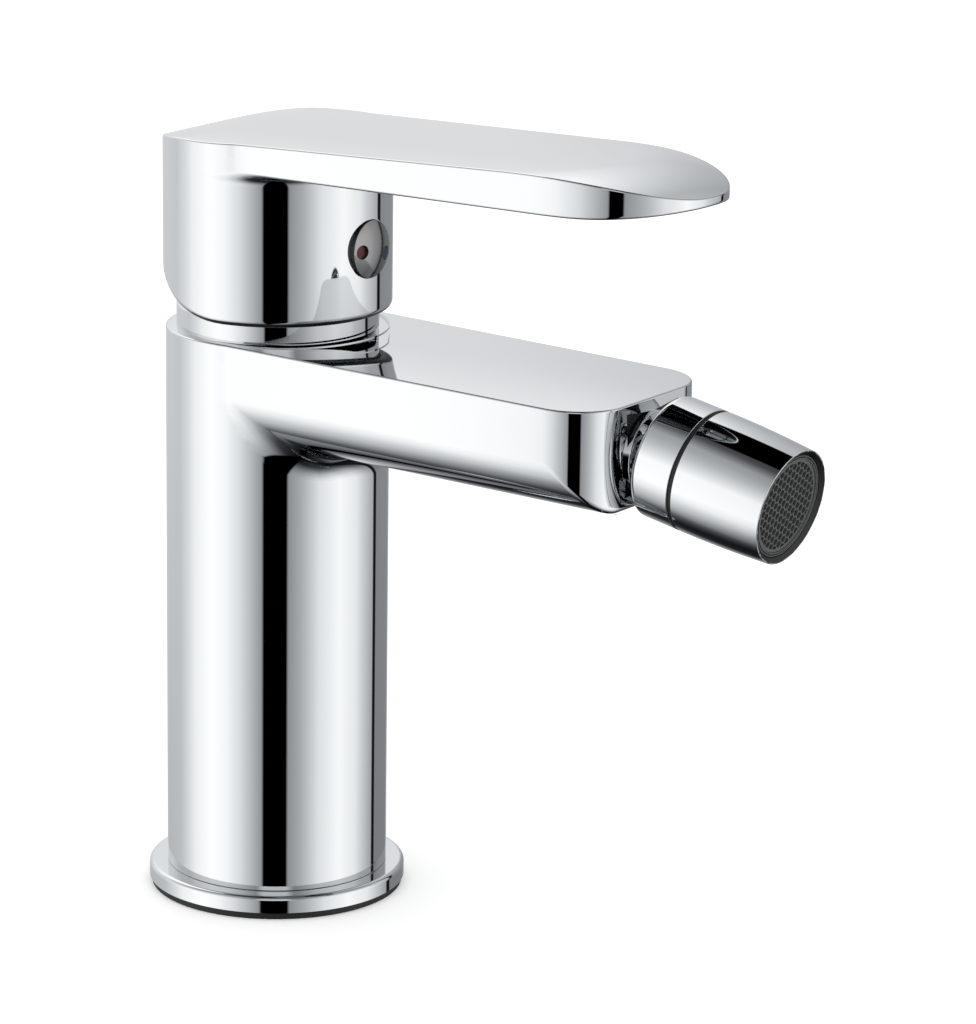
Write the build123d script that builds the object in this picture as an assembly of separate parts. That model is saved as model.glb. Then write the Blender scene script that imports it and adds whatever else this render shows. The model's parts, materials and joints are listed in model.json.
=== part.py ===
from build123d import *
import math
import os

# Bidet mixer: deck-mounted single-lever tap with a swivelling aerator head.
# Millimetres, +Z up. The origin is the column's axis on the deck, and the spout points along +X.

# Driving dimensions: base and column
column_diameter = 46.0
column_wall = 3.0
base_ring_overhang = 3.8
base_ring_height = 3.6
base_ring_edge_radius = 1.0
gasket_inset = 0.5
gasket_thickness = 1.4
spigot_wall = 2.0
spigot_length = 2.8
seat_clearance = 0.1
body_top_height = 120.2

# Driving dimensions: spout
spout_reach = 92.3
spout_root_inset = 0.3
spout_narrowing = 1.1
spout_depth = 21.3
spout_drop = 1.6
spout_corner_radius = 11.0
spout_underside_radius = 11.0
spout_root_fillet = 7.0
spout_channel_radius = 6.0

# Driving dimensions: supply block inside the column
supply_block_height = 28.4
supply_thread_radius = 4.5
supply_thread_depth = 14.0
supply_bore_radius = 2.6
supply_offset_x = 3.5
supply_offset_y = 6.5
stud_thread_radius = 3.4
stud_thread_depth = 14.0
stud_offset_x = -9.5

# Driving dimensions: cartridge
cartridge_well_depth = 29.8
cartridge_shoulder = 2.6
base_plate_height = 4.6
peg_radius = 1.5
peg_length = 2.0
peg_offset = 9.5
port_seal_outer_radius = 3.9
port_seal_inner_radius = 2.7
port_seal_height = 1.6
disc_seal_height = 1.2
fixed_disc_margin = 1.1
fixed_disc_height = 3.4
disc_port_radius = 2.1
moving_disc_margin = 3.5
moving_disc_height = 3.1
moving_disc_wall = 1.4
chamber_depth = 1.6
chamber_front = 0.8
disc_gap = 0.05
coupler_inset = 0.8
coupler_peg_radius = 1.2
coupler_peg_length = 1.3
coupler_peg_x = 5.5
coupler_peg_y = 3.5
outlet_port_offset = -6.0
housing_shoulder_height = 23.6
housing_shoulder_width = 1.9
housing_height = 30.6
housing_wall = 2.8
carrier_flange_gap = 0.3
carrier_flange_height = 6.0
housing_neck_wall = 3.2
carrier_neck_height = 9.6
running_clearance = 0.1
stem_slot_half_length = 7.4
stem_side = 8.0
stem_side_clearance = 0.3
stem_block_below_pivot = 3.5
pivot_above_seat = 25.1
pivot_pin_radius = 1.5
pivot_hole_clearance = 0.05
pivot_pin_inset = 0.8
stem_arm = 11.0
stem_chamfer = 0.5
stem_ball_radius = 2.5
stem_neck_radius = 1.9
stem_ball_clearance = 0.15
coupler_above_ball = 1.0
stem_head_room = 9.6
nut_thread_wall = 3.0
nut_bore_depth = 7.0
nut_shoulder = 1.5
nut_neck_height = 3.3
nut_notch_width = 3.0
nut_notch_depth = 2.0
nut_notch_count = 6
collar_clearance = 0.3
collar_height = 4.7
collar_lip_width = 4.8
collar_edge_radius = 0.4
outlet_slot_inner_wall = 1.3
outlet_slot_outer_wall = 2.0
outlet_slot_angle = 70.0
outlet_passage_drop = 6.4

# Driving dimensions: lever handle
handle_overhang = 0.5
handle_wall = 2.4
handle_gap = 4.0
handle_bottom_edge_radius = 1.6
handle_roof = 8.7
heel_relief_radius = 31.0
heel_relief_start = 3.0
handle_rise = 37.1
lever_rise_per_length = 0.033
lever_rear_drop = 2.5
lever_rear_drop_start = -6.0
lever_reach = 105.5
lever_tip_length = 28.5
lever_root_inset = 0.9
lever_narrowing = 2.3
lever_tip_power = 2.2
lever_tip_steps = 16
lever_crown_centre = 62.0
lever_crown_start = 21.0
lever_crown_radius = 44.0
lever_crown_stretch = 0.95
lever_thickness = 5.9
lever_under_rise = 0.7
lever_tip_under_rise = 2.1
lever_tip_under_length = 21.5
lever_under_shares = (0, 0.4, 0.7, 0.8, 0.87, 0.94, 1.0)
lever_root_fillet = 2.5
boss_half_width = 6.5
boss_lift = 2.8
boss_rear = 8.5
stem_socket_clearance = 0.1
stem_socket_spare = 0.5
grub_radius = 2.5
grub_length = 9.0
grub_key_radius = 1.3
grub_key_depth = 3.0
index_rise = 14.6
index_radius = 5.9
index_barrel_radius = 3.1
index_barrel_length = 3.0
index_rim_thickness = 1.0
index_proud = 0.4
index_crown = 1.2
index_gap = 0.15
index_turn = -9.5
dot_radius = 1.4
dot_offset = 3.85
dot_drop = 0.6
dot_length = 1.6
dot_recess = 0.4

# Driving dimensions: swivel head
ball_centre_ahead = 7.0
ball_centre_drop = 13.5
head_tilt = 11.3
ball_radius = 6.2
ball_neck_inset = 2.6
nipple_flange_width = 2.3
nipple_flange_height = 1.0
nipple_thread_radius = 7.0
nipple_thread_length = 9.0
nipple_bore_radius = 2.6
nipple_washer_width = 1.2
nipple_washer_height = 1.2
ball_ring_radius = 0.75
ball_clearance = 0.08
head_radius = 12.5
head_back = 4.0
head_back_edge_radius = 1.5
nut_back_rim = 1.5
ball_catch = 0.8
nut_countersink_depth = 1.4
nut_front = 5.1
nut_wall = 1.9
nut_insert_depth = 3.5
seam_width = 1.0
seam_inset = 0.3
sleeve_length = 19.6
sleeve_taper = 0.8
sleeve_bulge = 0.2
sleeve_lip = 0.3
sleeve_lip_depth = 0.7
sleeve_wall = 1.1
sleeve_throat_radius = 5.5
sleeve_throat_length = 3.5
spigot_thread_wall = 2.0
ball_seat_length = 7.7
ball_seat_bore_radius = 3.2
aerator_recess = 0.7
aerator_wall = 0.9
aerator_inner_lip = 0.7
aerator_lip_height = 0.8
washer_height = 1.5
washer_inner_radius = 7.2
honeycomb_thickness = 3.0
honeycomb_recess = 0.3
honeycomb_pitch = 1.62
honeycomb_web = 0.32
honeycomb_border = 0.5
flow_plate_height = 1.6
flow_hole_radius = 0.6
flow_hole_count = 12
flow_ring_radius = 6.2
fit_gap = 0.05
cut_overrun = 2.0

# Derived places
column_radius = column_diameter / 2
column_bore = column_radius - column_wall
base_ring_diameter = column_diameter + 2 * base_ring_overhang
gasket_diameter = base_ring_diameter - 2 * gasket_inset
ring_bottom = gasket_thickness
ring_top = gasket_thickness + base_ring_height
ring_bore = column_bore + seat_clearance
spout_root_half_width = column_radius - spout_root_inset
spout_end_half_width = spout_root_half_width - spout_narrowing
seat_height = body_top_height - cartridge_well_depth
supply_block_bottom = seat_height - supply_block_height
outlet_passage_height = seat_height - outlet_passage_drop
nut_thread_radius = column_radius - nut_thread_wall
nut_neck_radius = nut_thread_radius - nut_shoulder
cartridge_radius = nut_thread_radius - cartridge_shoulder
pivot_z = seat_height + pivot_above_seat
stem_ball_z = pivot_z - stem_arm
base_plate_top = seat_height + base_plate_height
fixed_disc_top = base_plate_top + fixed_disc_height
moving_disc_bottom = fixed_disc_top + disc_gap
moving_disc_top = moving_disc_bottom + moving_disc_height
coupler_top = stem_ball_z + coupler_above_ball
carrier_bottom = coupler_top + 2 * running_clearance
flange_top = carrier_bottom + carrier_flange_height
carrier_top = flange_top + carrier_neck_height
housing_shoulder = seat_height + housing_shoulder_height
housing_top = seat_height + housing_height
spout_slope = spout_drop / spout_reach
collar_top = body_top_height + collar_height
nut_neck_top = body_top_height + nut_neck_height
handle_bottom_height = body_top_height + handle_gap
lever_top_height = handle_bottom_height + handle_rise
handle_ceiling_height = lever_top_height - handle_roof
stem_top = handle_ceiling_height - stem_head_room
handle_radius = column_radius + handle_overhang
handle_bore = handle_radius - handle_wall
lever_root_half_width = handle_radius - lever_root_inset
lever_tip_half_width = lever_root_half_width - lever_narrowing
index_rim_x = handle_radius + index_proud
sleeve_back = nut_front + seam_width
sleeve_throat_back = nut_front - nut_insert_depth + fit_gap + ball_seat_length
washer_back = sleeve_throat_back + sleeve_throat_length
aerator_back = washer_back + washer_height
sleeve_front = sleeve_back + sleeve_length
aerator_front = sleeve_front - aerator_recess
sleeve_front_radius = head_radius - sleeve_taper
sleeve_bore_radius = sleeve_front_radius - sleeve_wall
aerator_radius = sleeve_bore_radius - fit_gap
aerator_bore = aerator_radius - aerator_wall
ball_centre_x = spout_reach + ball_centre_ahead
flange_back = spout_reach - ball_centre_x
ports = [(supply_offset_x, supply_offset_y), (supply_offset_x, -supply_offset_y), (outlet_port_offset, 0)]
housing_neck_radius = cartridge_radius - housing_shoulder_width
housing_disc_bore_radius = cartridge_radius - housing_wall
fixed_disc_radius = housing_disc_bore_radius - fixed_disc_margin
moving_disc_radius = fixed_disc_radius - moving_disc_margin
coupler_radius = moving_disc_radius - coupler_inset
carrier_flange_radius = housing_disc_bore_radius - carrier_flange_gap
carrier_neck_radius = housing_neck_radius - housing_neck_wall
collar_radius = handle_bore - collar_clearance
collar_lip_radius = collar_radius - collar_lip_width
outlet_slot_inner_radius = cartridge_radius + outlet_slot_inner_wall
outlet_slot_outer_radius = column_radius - outlet_slot_outer_wall
lever_under_height = lever_top_height - lever_thickness
boss_bottom_height = handle_bottom_height + boss_lift
index_height = handle_bottom_height + index_rise
ball_centre_z = body_top_height - ball_centre_drop
ball_neck_radius = ball_radius - ball_neck_inset
nipple_flange_radius = nipple_thread_radius + nipple_flange_width
nipple_washer_radius = nipple_thread_radius + nipple_washer_width
nut_countersink_radius = head_radius - nut_back_rim
nut_opening_radius = ball_radius - ball_catch
nut_insert_radius = head_radius - nut_wall
ball_seat_radius = nut_insert_radius - spigot_thread_wall


def rod(radius, bottom, top, x=0.0, y=0.0):
    """An upright cylinder from bottom to top."""
    height = top - bottom
    return Pos(x, y, bottom + height / 2) * Cylinder(radius, height)


def rod_x(radius, start, end, y=0.0, z=0.0):
    """A cylinder lying along X, from start to end."""
    length = end - start
    return Pos(start + length / 2, y, z) * Rot(0, 90, 0) * Cylinder(radius, length)


def ring(outer, inner, bottom, top):
    """A plain ring about the Z axis, from bottom to top."""
    return rod(outer, bottom, top) - rod(inner, bottom - cut_overrun, top + cut_overrun)


def block(x_range, y_range, z_range):
    """A box from its ranges along X, Y and Z."""
    size = (x_range[1] - x_range[0], y_range[1] - y_range[0], z_range[1] - z_range[0])
    low = (x_range[0], y_range[0], z_range[0])
    return Pos(*low) * Box(*size, align=(Align.MIN, Align.MIN, Align.MIN))


def turned(points):
    """A solid turned about Z from its half outline of (radius, height) points."""
    outline = Polyline(*[(r, 0, z) for r, z in points], close=True)
    return revolve(make_face(outline), Axis.Z, 360)


def save(node, shape):
    """Write one piece to its own file."""
    shape.label = node
    export_step(shape, f"parts/{node}.step")
    print(node, "solids", len(shape.solids()), "volume", round(shape.volume, 1))


# Base: rubber gasket and polished ring

def make_gasket():
    return ring(gasket_diameter / 2, ring_bore, 0, gasket_thickness)


def make_base_ring():
    body = ring(base_ring_diameter / 2, ring_bore, ring_bottom, ring_top)
    upper = body.edges().group_by(Axis.Z)[-1].sort_by(SortBy.RADIUS)[-1]
    return fillet(upper, base_ring_edge_radius)


# Body casting: column, spout and the passages inside them

def spout_plan():
    """The spout seen from above: sides tangent to the column, rounded corners at its end."""
    lean = math.asin((column_radius - spout_end_half_width) / spout_reach)
    touch_x = column_radius * math.sin(lean)
    touch_y = column_radius * math.cos(lean)
    half = spout_end_half_width
    outline = Polyline((touch_x, touch_y), (spout_reach, half), (spout_reach, -half), (touch_x, -touch_y), close=True)
    face = make_face(outline)
    return fillet(face.vertices().sort_by(Axis.X)[-2:], spout_corner_radius)


def spout_section(x, half_width):
    """The cross-section at x: flat top, crisp upper edges and rounded lower ones."""
    top = body_top_height - spout_slope * x
    low = top - spout_depth
    outline = Polyline((-half_width, low), (half_width, low), (half_width, top), (-half_width, top), close=True)
    face = make_face(outline)
    lower = face.vertices().sort_by(Axis.Y)[:2]
    return Plane.YZ.offset(x) * fillet(lower, spout_underside_radius)


def make_spout():
    taper = (spout_end_half_width - spout_root_half_width) / spout_reach
    far = spout_reach + cut_overrun
    sections = [spout_section(0, spout_root_half_width), spout_section(far, spout_root_half_width + taper * far)]
    return loft(sections, ruled=True) & extrude(spout_plan(), body_top_height + cut_overrun)


def make_outer_body():
    """Column and spout as one form, with the soft blend under the spout's root."""
    column = Rot(0, 0, 180) * rod(column_radius, ring_top, body_top_height)
    body = column + make_spout()
    below_top = body_top_height - spout_drop
    seam = [edge for edge in body.edges()
            if edge.length > column_wall
            and 0 < edge.center().X < column_radius + fit_gap
            and ring_top + cut_overrun < edge.center().Z < below_top]
    return fillet(seam, spout_root_fillet)


def passages():
    """Everything that is bored or cored out of the casting, as one list of cutters."""
    cutters = [rod(column_bore, ring_top - cut_overrun, supply_block_bottom)]
    cutters.append(rod(cartridge_radius + fit_gap, seat_height, body_top_height + cut_overrun))
    cutters.append(rod(nut_thread_radius + fit_gap, body_top_height - nut_bore_depth, body_top_height + cut_overrun))
    thread_top = supply_block_bottom + supply_thread_depth
    for x, y in ports[:2]:
        cutters.append(rod(supply_thread_radius, supply_block_bottom - cut_overrun, thread_top, x, y))
        cutters.append(rod(supply_bore_radius, thread_top - cut_overrun, seat_height + cut_overrun, x, y))
    stud_top = supply_block_bottom + stud_thread_depth
    cutters.append(rod(stud_thread_radius, supply_block_bottom - cut_overrun, stud_top, stud_offset_x))
    for x, y in ((peg_offset, peg_offset), (peg_offset, -peg_offset)):
        cutters.append(rod(peg_radius + fit_gap, seat_height - peg_length - fit_gap, seat_height + cut_overrun, x, y))
    cutters.append(rod(supply_bore_radius, outlet_passage_height, seat_height + cut_overrun, outlet_port_offset))
    middle = (outlet_slot_inner_radius + outlet_slot_outer_radius) / 2
    cutters.append(rod_x(supply_bore_radius, outlet_port_offset, middle, z=outlet_passage_height))
    cutters.append(outlet_slot())
    thread_start = spout_reach - nipple_thread_length - fit_gap
    cutters.append(rod_x(spout_channel_radius, middle, thread_start + cut_overrun, z=ball_centre_z))
    far = spout_reach + cut_overrun
    cutters.append(rod_x(nipple_thread_radius + fit_gap, thread_start, far, z=ball_centre_z))
    washer_bore = nipple_washer_radius + seat_clearance
    cutters.append(rod_x(washer_bore, spout_reach - nipple_washer_height, far, z=ball_centre_z))
    return cutters


def outlet_slot():
    """The curved passage that lifts the water beside the cartridge, up to the spout."""
    low = outlet_passage_height - supply_bore_radius
    high = ball_centre_z + supply_bore_radius
    points = [(outlet_slot_inner_radius, low), (outlet_slot_outer_radius, low),
              (outlet_slot_outer_radius, high), (outlet_slot_inner_radius, high)]
    outline = Polyline(*[(r, 0, z) for r, z in points], close=True)
    return Rot(0, 0, -outlet_slot_angle / 2) * revolve(make_face(outline), Axis.Z, outlet_slot_angle)


def make_body():
    body = make_outer_body()
    for cutter in passages():
        body = body - cutter
    spigot = ring(column_bore, column_bore - spigot_wall, ring_top - spigot_length, ring_top + spigot_length)
    return body + spigot


# Cartridge: sealed base, ceramic discs, stem and its carrier

def make_base_plate():
    body = rod(cartridge_radius, seat_height, base_plate_top)
    for x, y in ports:
        body -= rod(port_seal_inner_radius, seat_height - cut_overrun, base_plate_top + cut_overrun, x, y)
        body -= rod(port_seal_outer_radius + fit_gap, seat_height - cut_overrun, seat_height + port_seal_height, x, y)
        body -= rod(port_seal_outer_radius + fit_gap, base_plate_top - disc_seal_height, base_plate_top + cut_overrun, x, y)
    for y in (peg_offset, -peg_offset):
        body += rod(peg_radius, seat_height - peg_length, seat_height + fit_gap, peg_offset, y)
    return body


def make_seals(bottom, height):
    """One rubber ring round each port."""
    seals = []
    for x, y in ports:
        outer = rod(port_seal_outer_radius, bottom, bottom + height, x, y)
        seals.append(outer - rod(port_seal_inner_radius, bottom - cut_overrun, bottom + height + cut_overrun, x, y))
    return Compound(children=seals)


def make_fixed_disc():
    body = rod(fixed_disc_radius, base_plate_top, fixed_disc_top)
    for x, y in ports:
        body -= rod(disc_port_radius, base_plate_top - cut_overrun, fixed_disc_top + cut_overrun, x, y)
    return body


def make_moving_disc():
    """The sliding disc: a D-shaped mixing chamber below, two peg holes above."""
    body = rod(moving_disc_radius, moving_disc_bottom, moving_disc_top)
    chamber_radius = moving_disc_radius - moving_disc_wall
    chamber = rod(chamber_radius, moving_disc_bottom - cut_overrun, moving_disc_bottom + chamber_depth)
    keep = block((-moving_disc_radius, chamber_front), (-moving_disc_radius, moving_disc_radius),
                 (moving_disc_bottom - cut_overrun, moving_disc_top))
    body -= chamber & keep
    for y in (coupler_peg_y, -coupler_peg_y):
        low = moving_disc_top - coupler_peg_length - fit_gap
        body -= rod(coupler_peg_radius + fit_gap, low, moving_disc_top + cut_overrun, coupler_peg_x, y)
    return body


def make_coupler():
    body = rod(coupler_radius, moving_disc_top, coupler_top)
    socket = stem_ball_radius + stem_ball_clearance
    body -= rod(socket, moving_disc_top - cut_overrun, coupler_top + cut_overrun)
    for y in (coupler_peg_y, -coupler_peg_y):
        body += rod(coupler_peg_radius, moving_disc_top - coupler_peg_length, moving_disc_top + fit_gap, coupler_peg_x, y)
    return body


def make_housing():
    body = rod(cartridge_radius, base_plate_top, housing_shoulder)
    body += rod(housing_neck_radius, base_plate_top, housing_top)
    body -= rod(housing_disc_bore_radius, base_plate_top - cut_overrun, flange_top + running_clearance)
    return body - rod(carrier_neck_radius + running_clearance, base_plate_top, housing_top + cut_overrun)


def make_carrier():
    body = rod(carrier_flange_radius, carrier_bottom, flange_top)
    body += rod(carrier_neck_radius, carrier_bottom, carrier_top)
    half_slot = stem_side / 2 + stem_side_clearance
    body -= block((-stem_slot_half_length, stem_slot_half_length), (-half_slot, half_slot),
                  (carrier_bottom - cut_overrun, carrier_top + cut_overrun))
    pin_hole = Rot(90, 0, 0) * Cylinder(pivot_pin_radius, 2 * carrier_flange_radius + cut_overrun)
    return body - Pos(0, 0, pivot_z) * pin_hole


def make_pivot_pin():
    length = 2 * (carrier_neck_radius - pivot_pin_inset)
    return Pos(0, 0, pivot_z) * Rot(90, 0, 0) * Cylinder(pivot_pin_radius, length)


def make_stem():
    """Square spindle above the pivot, ball-ended tongue below it."""
    half = stem_side / 2
    body = block((-half, half), (-half, half), (pivot_z - stem_block_below_pivot, stem_top))
    body = chamfer(body.edges().group_by(Axis.Z)[-1], stem_chamfer)
    body += rod(stem_neck_radius, stem_ball_z, pivot_z)
    body += Pos(0, 0, stem_ball_z) * Sphere(stem_ball_radius)
    pin_hole = Rot(90, 0, 0) * Cylinder(pivot_pin_radius + pivot_hole_clearance, stem_side + cut_overrun)
    return body - Pos(0, 0, pivot_z) * pin_hole


def make_cartridge_nut():
    low = housing_shoulder + fit_gap
    inner = housing_neck_radius + running_clearance
    body = ring(nut_thread_radius, inner, low, body_top_height) + ring(nut_neck_radius, inner, low, nut_neck_top)
    for turn in range(nut_notch_count):
        notch = block((inner - cut_overrun, nut_neck_radius + cut_overrun), (-nut_notch_width / 2, nut_notch_width / 2),
                      (nut_neck_top - nut_notch_depth, nut_neck_top + cut_overrun))
        body -= Rot(0, 0, turn * 360 / nut_notch_count) * notch
    return body


def make_collar():
    body = rod(collar_radius, body_top_height, collar_top)
    body = fillet(body.edges().group_by(Axis.Z)[-1], collar_edge_radius)
    body -= rod(nut_neck_radius + running_clearance, body_top_height - cut_overrun, nut_neck_top + fit_gap)
    return body - rod(collar_lip_radius, body_top_height - cut_overrun, collar_top + cut_overrun)


# Lever handle

def lever_top(x, y):
    """Height of the handle's upper skin: a slight rise, a lowered heel and a rolled-off tip."""
    height = lever_top_height + lever_rise_per_length * x
    if x < lever_rear_drop_start:
        span = handle_radius + lever_rear_drop_start
        height -= lever_rear_drop * ((lever_rear_drop_start - x) / span) ** 2
    run = max(x - lever_crown_centre, 0) * lever_crown_stretch
    reach = math.hypot(run, y) - lever_crown_start
    if reach > 0:
        height -= reach ** 2 / (2 * lever_crown_radius)
    return height


def below_top_skin():
    """A block whose upper face is the handle's skin, worked out on a grid of points."""
    margin = cut_overrun
    start_x = -handle_radius - margin
    end_x = lever_reach + margin
    half_y = handle_radius + margin
    columns = 34
    rows = 16
    grid = []
    for i in range(columns + 1):
        x = start_x + (end_x - start_x) * i / columns
        line = [-half_y + 2 * half_y * j / rows for j in range(rows + 1)]
        grid.append([Vector(x, y, lever_top(x, y)) for y in line])
    skin = Face.make_surface_from_array_of_points(grid)
    return Solid.extrude(skin, Vector(0, 0, handle_bottom_height - lever_top_height - handle_radius))


def lever_plan():
    """The lever seen from above: sides that leave the cap and run into a rounded tip."""
    tip_start = lever_reach - lever_tip_length
    root = lever_root_half_width
    half = lever_tip_half_width
    left = Line((tip_start, half), (0, root))
    back = Line((0, root), (0, -root))
    right = Line((0, -root), (tip_start, -half))
    points = []
    for step in range(lever_tip_steps + 1):
        angle = math.pi * (step / lever_tip_steps - 1 / 2)
        across = abs(math.sin(angle)) ** (2 / lever_tip_power)
        along = max(math.cos(angle), 0) ** (2 / lever_tip_power)
        points.append((tip_start + lever_tip_length * along, math.copysign(half * across, angle)))
    lean = (root - half) / tip_start
    tip = Spline(*points, tangents=[(1, lean), (-1, lean)])
    return make_face([left, back, right, tip])


def lever_under_points():
    """Underside of the lever in side view, from the cap's axis to beyond the tip."""
    points = []
    far = lever_reach + cut_overrun
    for share in lever_under_shares:
        x = share * far
        z = lever_under_height + lever_under_rise * x / lever_reach
        tip = x - (lever_reach - lever_tip_under_length)
        if tip > 0:
            z += lever_tip_under_rise * (tip / lever_tip_under_length) ** 2
        points.append((x, z))
    return points


def make_lever_slab():
    under = lever_under_points()
    high = lever_top_height + handle_radius
    edge = Spline(*[(x, 0, z) for x, z in under])
    far = under[-1][0]
    side = [edge, Line((far, 0, under[-1][1]), (far, 0, high)), Line((far, 0, high), (0, 0, high)),
            Line((0, 0, high), (0, 0, under[0][1]))]
    thick = extrude(make_face(side), amount=handle_radius + cut_overrun, both=True)
    return thick & extrude(lever_plan(), high)


def heel_relief():
    """Cutter that lifts the cap's lower edge towards the heel, so the handle can tip."""
    reach = handle_radius + cut_overrun
    low = handle_bottom_height - cut_overrun
    room = block((-reach, heel_relief_start), (-reach, reach), (low, handle_bottom_height + heel_relief_radius))
    arc = Rot(90, 0, 0) * Cylinder(heel_relief_radius, 2 * reach + cut_overrun)
    return room - Pos(heel_relief_start, 0, handle_bottom_height + heel_relief_radius) * arc


def index_face_x():
    """Where the index plug's rim meets the cap's round wall."""
    return math.sqrt(handle_radius ** 2 - index_radius ** 2)


def make_handle():
    skin = below_top_skin()
    tall = lever_top_height + handle_radius
    cap = Rot(0, 0, 180) * rod(handle_radius, handle_bottom_height, tall)
    outer = (cap + make_lever_slab()) & skin
    root = [edge for edge in outer.edges()
            if abs(edge.center().Z - lever_under_height) < lever_under_rise + fit_gap
            and edge.center().X < handle_radius + fit_gap]
    outer = fillet(root, lever_root_fillet)
    outer -= heel_relief()
    lower = [edge for edge in outer.edges() if edge.center().Z < handle_bottom_height + heel_relief_radius / 4]
    outer = fillet(lower, handle_bottom_edge_radius)
    cavity = rod(handle_bore, handle_bottom_height - cut_overrun, handle_ceiling_height)
    boss = block((-boss_rear, handle_bore + handle_wall / 2), (-boss_half_width, boss_half_width),
                 (boss_bottom_height, handle_ceiling_height + fit_gap))
    body = outer - (cavity - boss)
    half = stem_side / 2 + stem_socket_clearance
    body -= block((-half, half), (-half, half), (boss_bottom_height - cut_overrun, stem_top + stem_socket_spare))
    face_x = index_face_x()
    body -= rod_x(grub_radius + fit_gap, 0, face_x, z=index_height)
    body -= rod_x(index_barrel_radius + fit_gap, face_x - index_rim_thickness - index_barrel_length - fit_gap,
                  face_x, z=index_height)
    body -= rod_x(index_radius + index_gap, face_x - index_rim_thickness, handle_radius + cut_overrun, z=index_height)
    return body


def make_grub_screw():
    start = stem_side / 2 + fit_gap
    body = rod_x(grub_radius, start, start + grub_length, z=index_height)
    return body - rod_x(grub_key_radius, start + grub_length - grub_key_depth, start + grub_length + cut_overrun,
                        z=index_height)


def index_dome():
    """The index plug's domed face and barrel, turned about its own axis and laid along X."""
    sunk = index_face_x() - index_rim_thickness
    barrel_end = sunk - index_barrel_length
    crown = index_rim_x + index_crown
    halfway = index_radius / 2
    dome = ThreePointArc((0, 0, crown), (halfway, 0, dome_height(halfway)), (index_radius, 0, index_rim_x))
    corners = [(index_radius, index_rim_x), (index_radius, sunk), (index_barrel_radius, sunk),
               (index_barrel_radius, barrel_end), (0, barrel_end), (0, crown)]
    sides = Polyline(*[(r, 0, x) for r, x in corners])
    return Pos(0, 0, index_height) * Rot(0, 90, 0) * revolve(make_face([dome, sides]), Axis.Z, 360)


def dot_place(side):
    """Centre of a coloured dot on the dome, to the left (-1) or right (+1) of its middle."""
    turn = math.radians(index_turn)
    y = side * dot_offset * math.cos(turn) + dot_drop * math.sin(turn)
    z = index_height + side * dot_offset * math.sin(turn) - dot_drop * math.cos(turn)
    return y, z


def dome_height(radius):
    """Where the dome's surface lies, at a given radius from the plug's middle."""
    sphere = (index_radius ** 2 + index_crown ** 2) / (2 * index_crown)
    return index_rim_x + index_crown - sphere + math.sqrt(sphere ** 2 - radius ** 2)


def make_index_plug():
    body = index_dome()
    low = dome_height(dot_offset) - dot_recess - dot_length
    for side in (-1, 1):
        y, z = dot_place(side)
        body -= rod_x(dot_radius + fit_gap, low, index_rim_x + index_crown, y, z)
    return body


def make_dot(side):
    y, z = dot_place(side)
    high = dome_height(dot_offset) - dot_recess
    return rod_x(dot_radius, high - dot_length, high, y, z)


# Swivel head, modelled about Z with the ball's centre at the origin, then put in place

def on_nipple(shape):
    return Pos(ball_centre_x, 0, ball_centre_z) * Rot(0, 90, 0) * shape


def on_head(shape):
    return Pos(ball_centre_x, 0, ball_centre_z) * Rot(0, 90 + head_tilt, 0) * shape


def make_nipple():
    flange_front = flange_back + nipple_flange_height
    body = rod(nipple_thread_radius, flange_back - nipple_thread_length, flange_back)
    body += rod(nipple_flange_radius, flange_back, flange_front)
    body += rod(ball_neck_radius, flange_back, 0)
    body += Sphere(ball_radius)
    body -= ring_groove()
    low = flange_back - nipple_thread_length - cut_overrun
    return on_nipple(body - rod(nipple_bore_radius, low, ball_radius + cut_overrun))


def ring_centre():
    return ball_radius - ball_ring_radius


def ring_groove():
    """The rounded groove round the ball's middle, with room for its rubber ring."""
    size = ball_ring_radius + fit_gap
    groove = Torus(ring_centre(), size)
    return groove + ring(ball_radius + cut_overrun, ring_centre(), -size, size)


def make_ball_ring():
    return on_nipple(Torus(ring_centre(), ball_ring_radius))


def make_nipple_washer():
    low = flange_back - nipple_washer_height + fit_gap
    return on_nipple(ring(nipple_washer_radius, nipple_thread_radius + fit_gap, low, flange_back))


def make_swivel_nut():
    body = rod(head_radius, -head_back, nut_front)
    body = fillet(body.edges().group_by(Axis.Z)[0], head_back_edge_radius)
    seat_back = nut_countersink_depth - head_back
    cone = turned([(0, -head_back - fit_gap), (nut_countersink_radius, -head_back - fit_gap),
                   (nut_countersink_radius, -head_back), (nut_opening_radius, seat_back),
                   (nut_opening_radius, 0), (0, 0)])
    body -= cone
    body -= Sphere(ball_radius + ball_clearance)
    insert_back = nut_front - nut_insert_depth
    body -= rod(ball_radius + ball_clearance, 0, nut_front + cut_overrun)
    return on_head(body - rod(nut_insert_radius, insert_back, nut_front + cut_overrun))


def make_ball_seat():
    """Plastic cup that bears on the front of the ball."""
    low = nut_front - nut_insert_depth + fit_gap
    body = rod(ball_seat_radius, low, low + ball_seat_length)
    body -= rod(ball_radius + ball_clearance, low - cut_overrun, low)
    body -= Sphere(ball_radius + ball_clearance)
    return on_head(body - rod(ball_seat_bore_radius, 0, low + ball_seat_length + cut_overrun))


def make_seam_ring():
    return on_head(ring(head_radius - seam_inset, nut_insert_radius, nut_front, sleeve_back))


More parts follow.
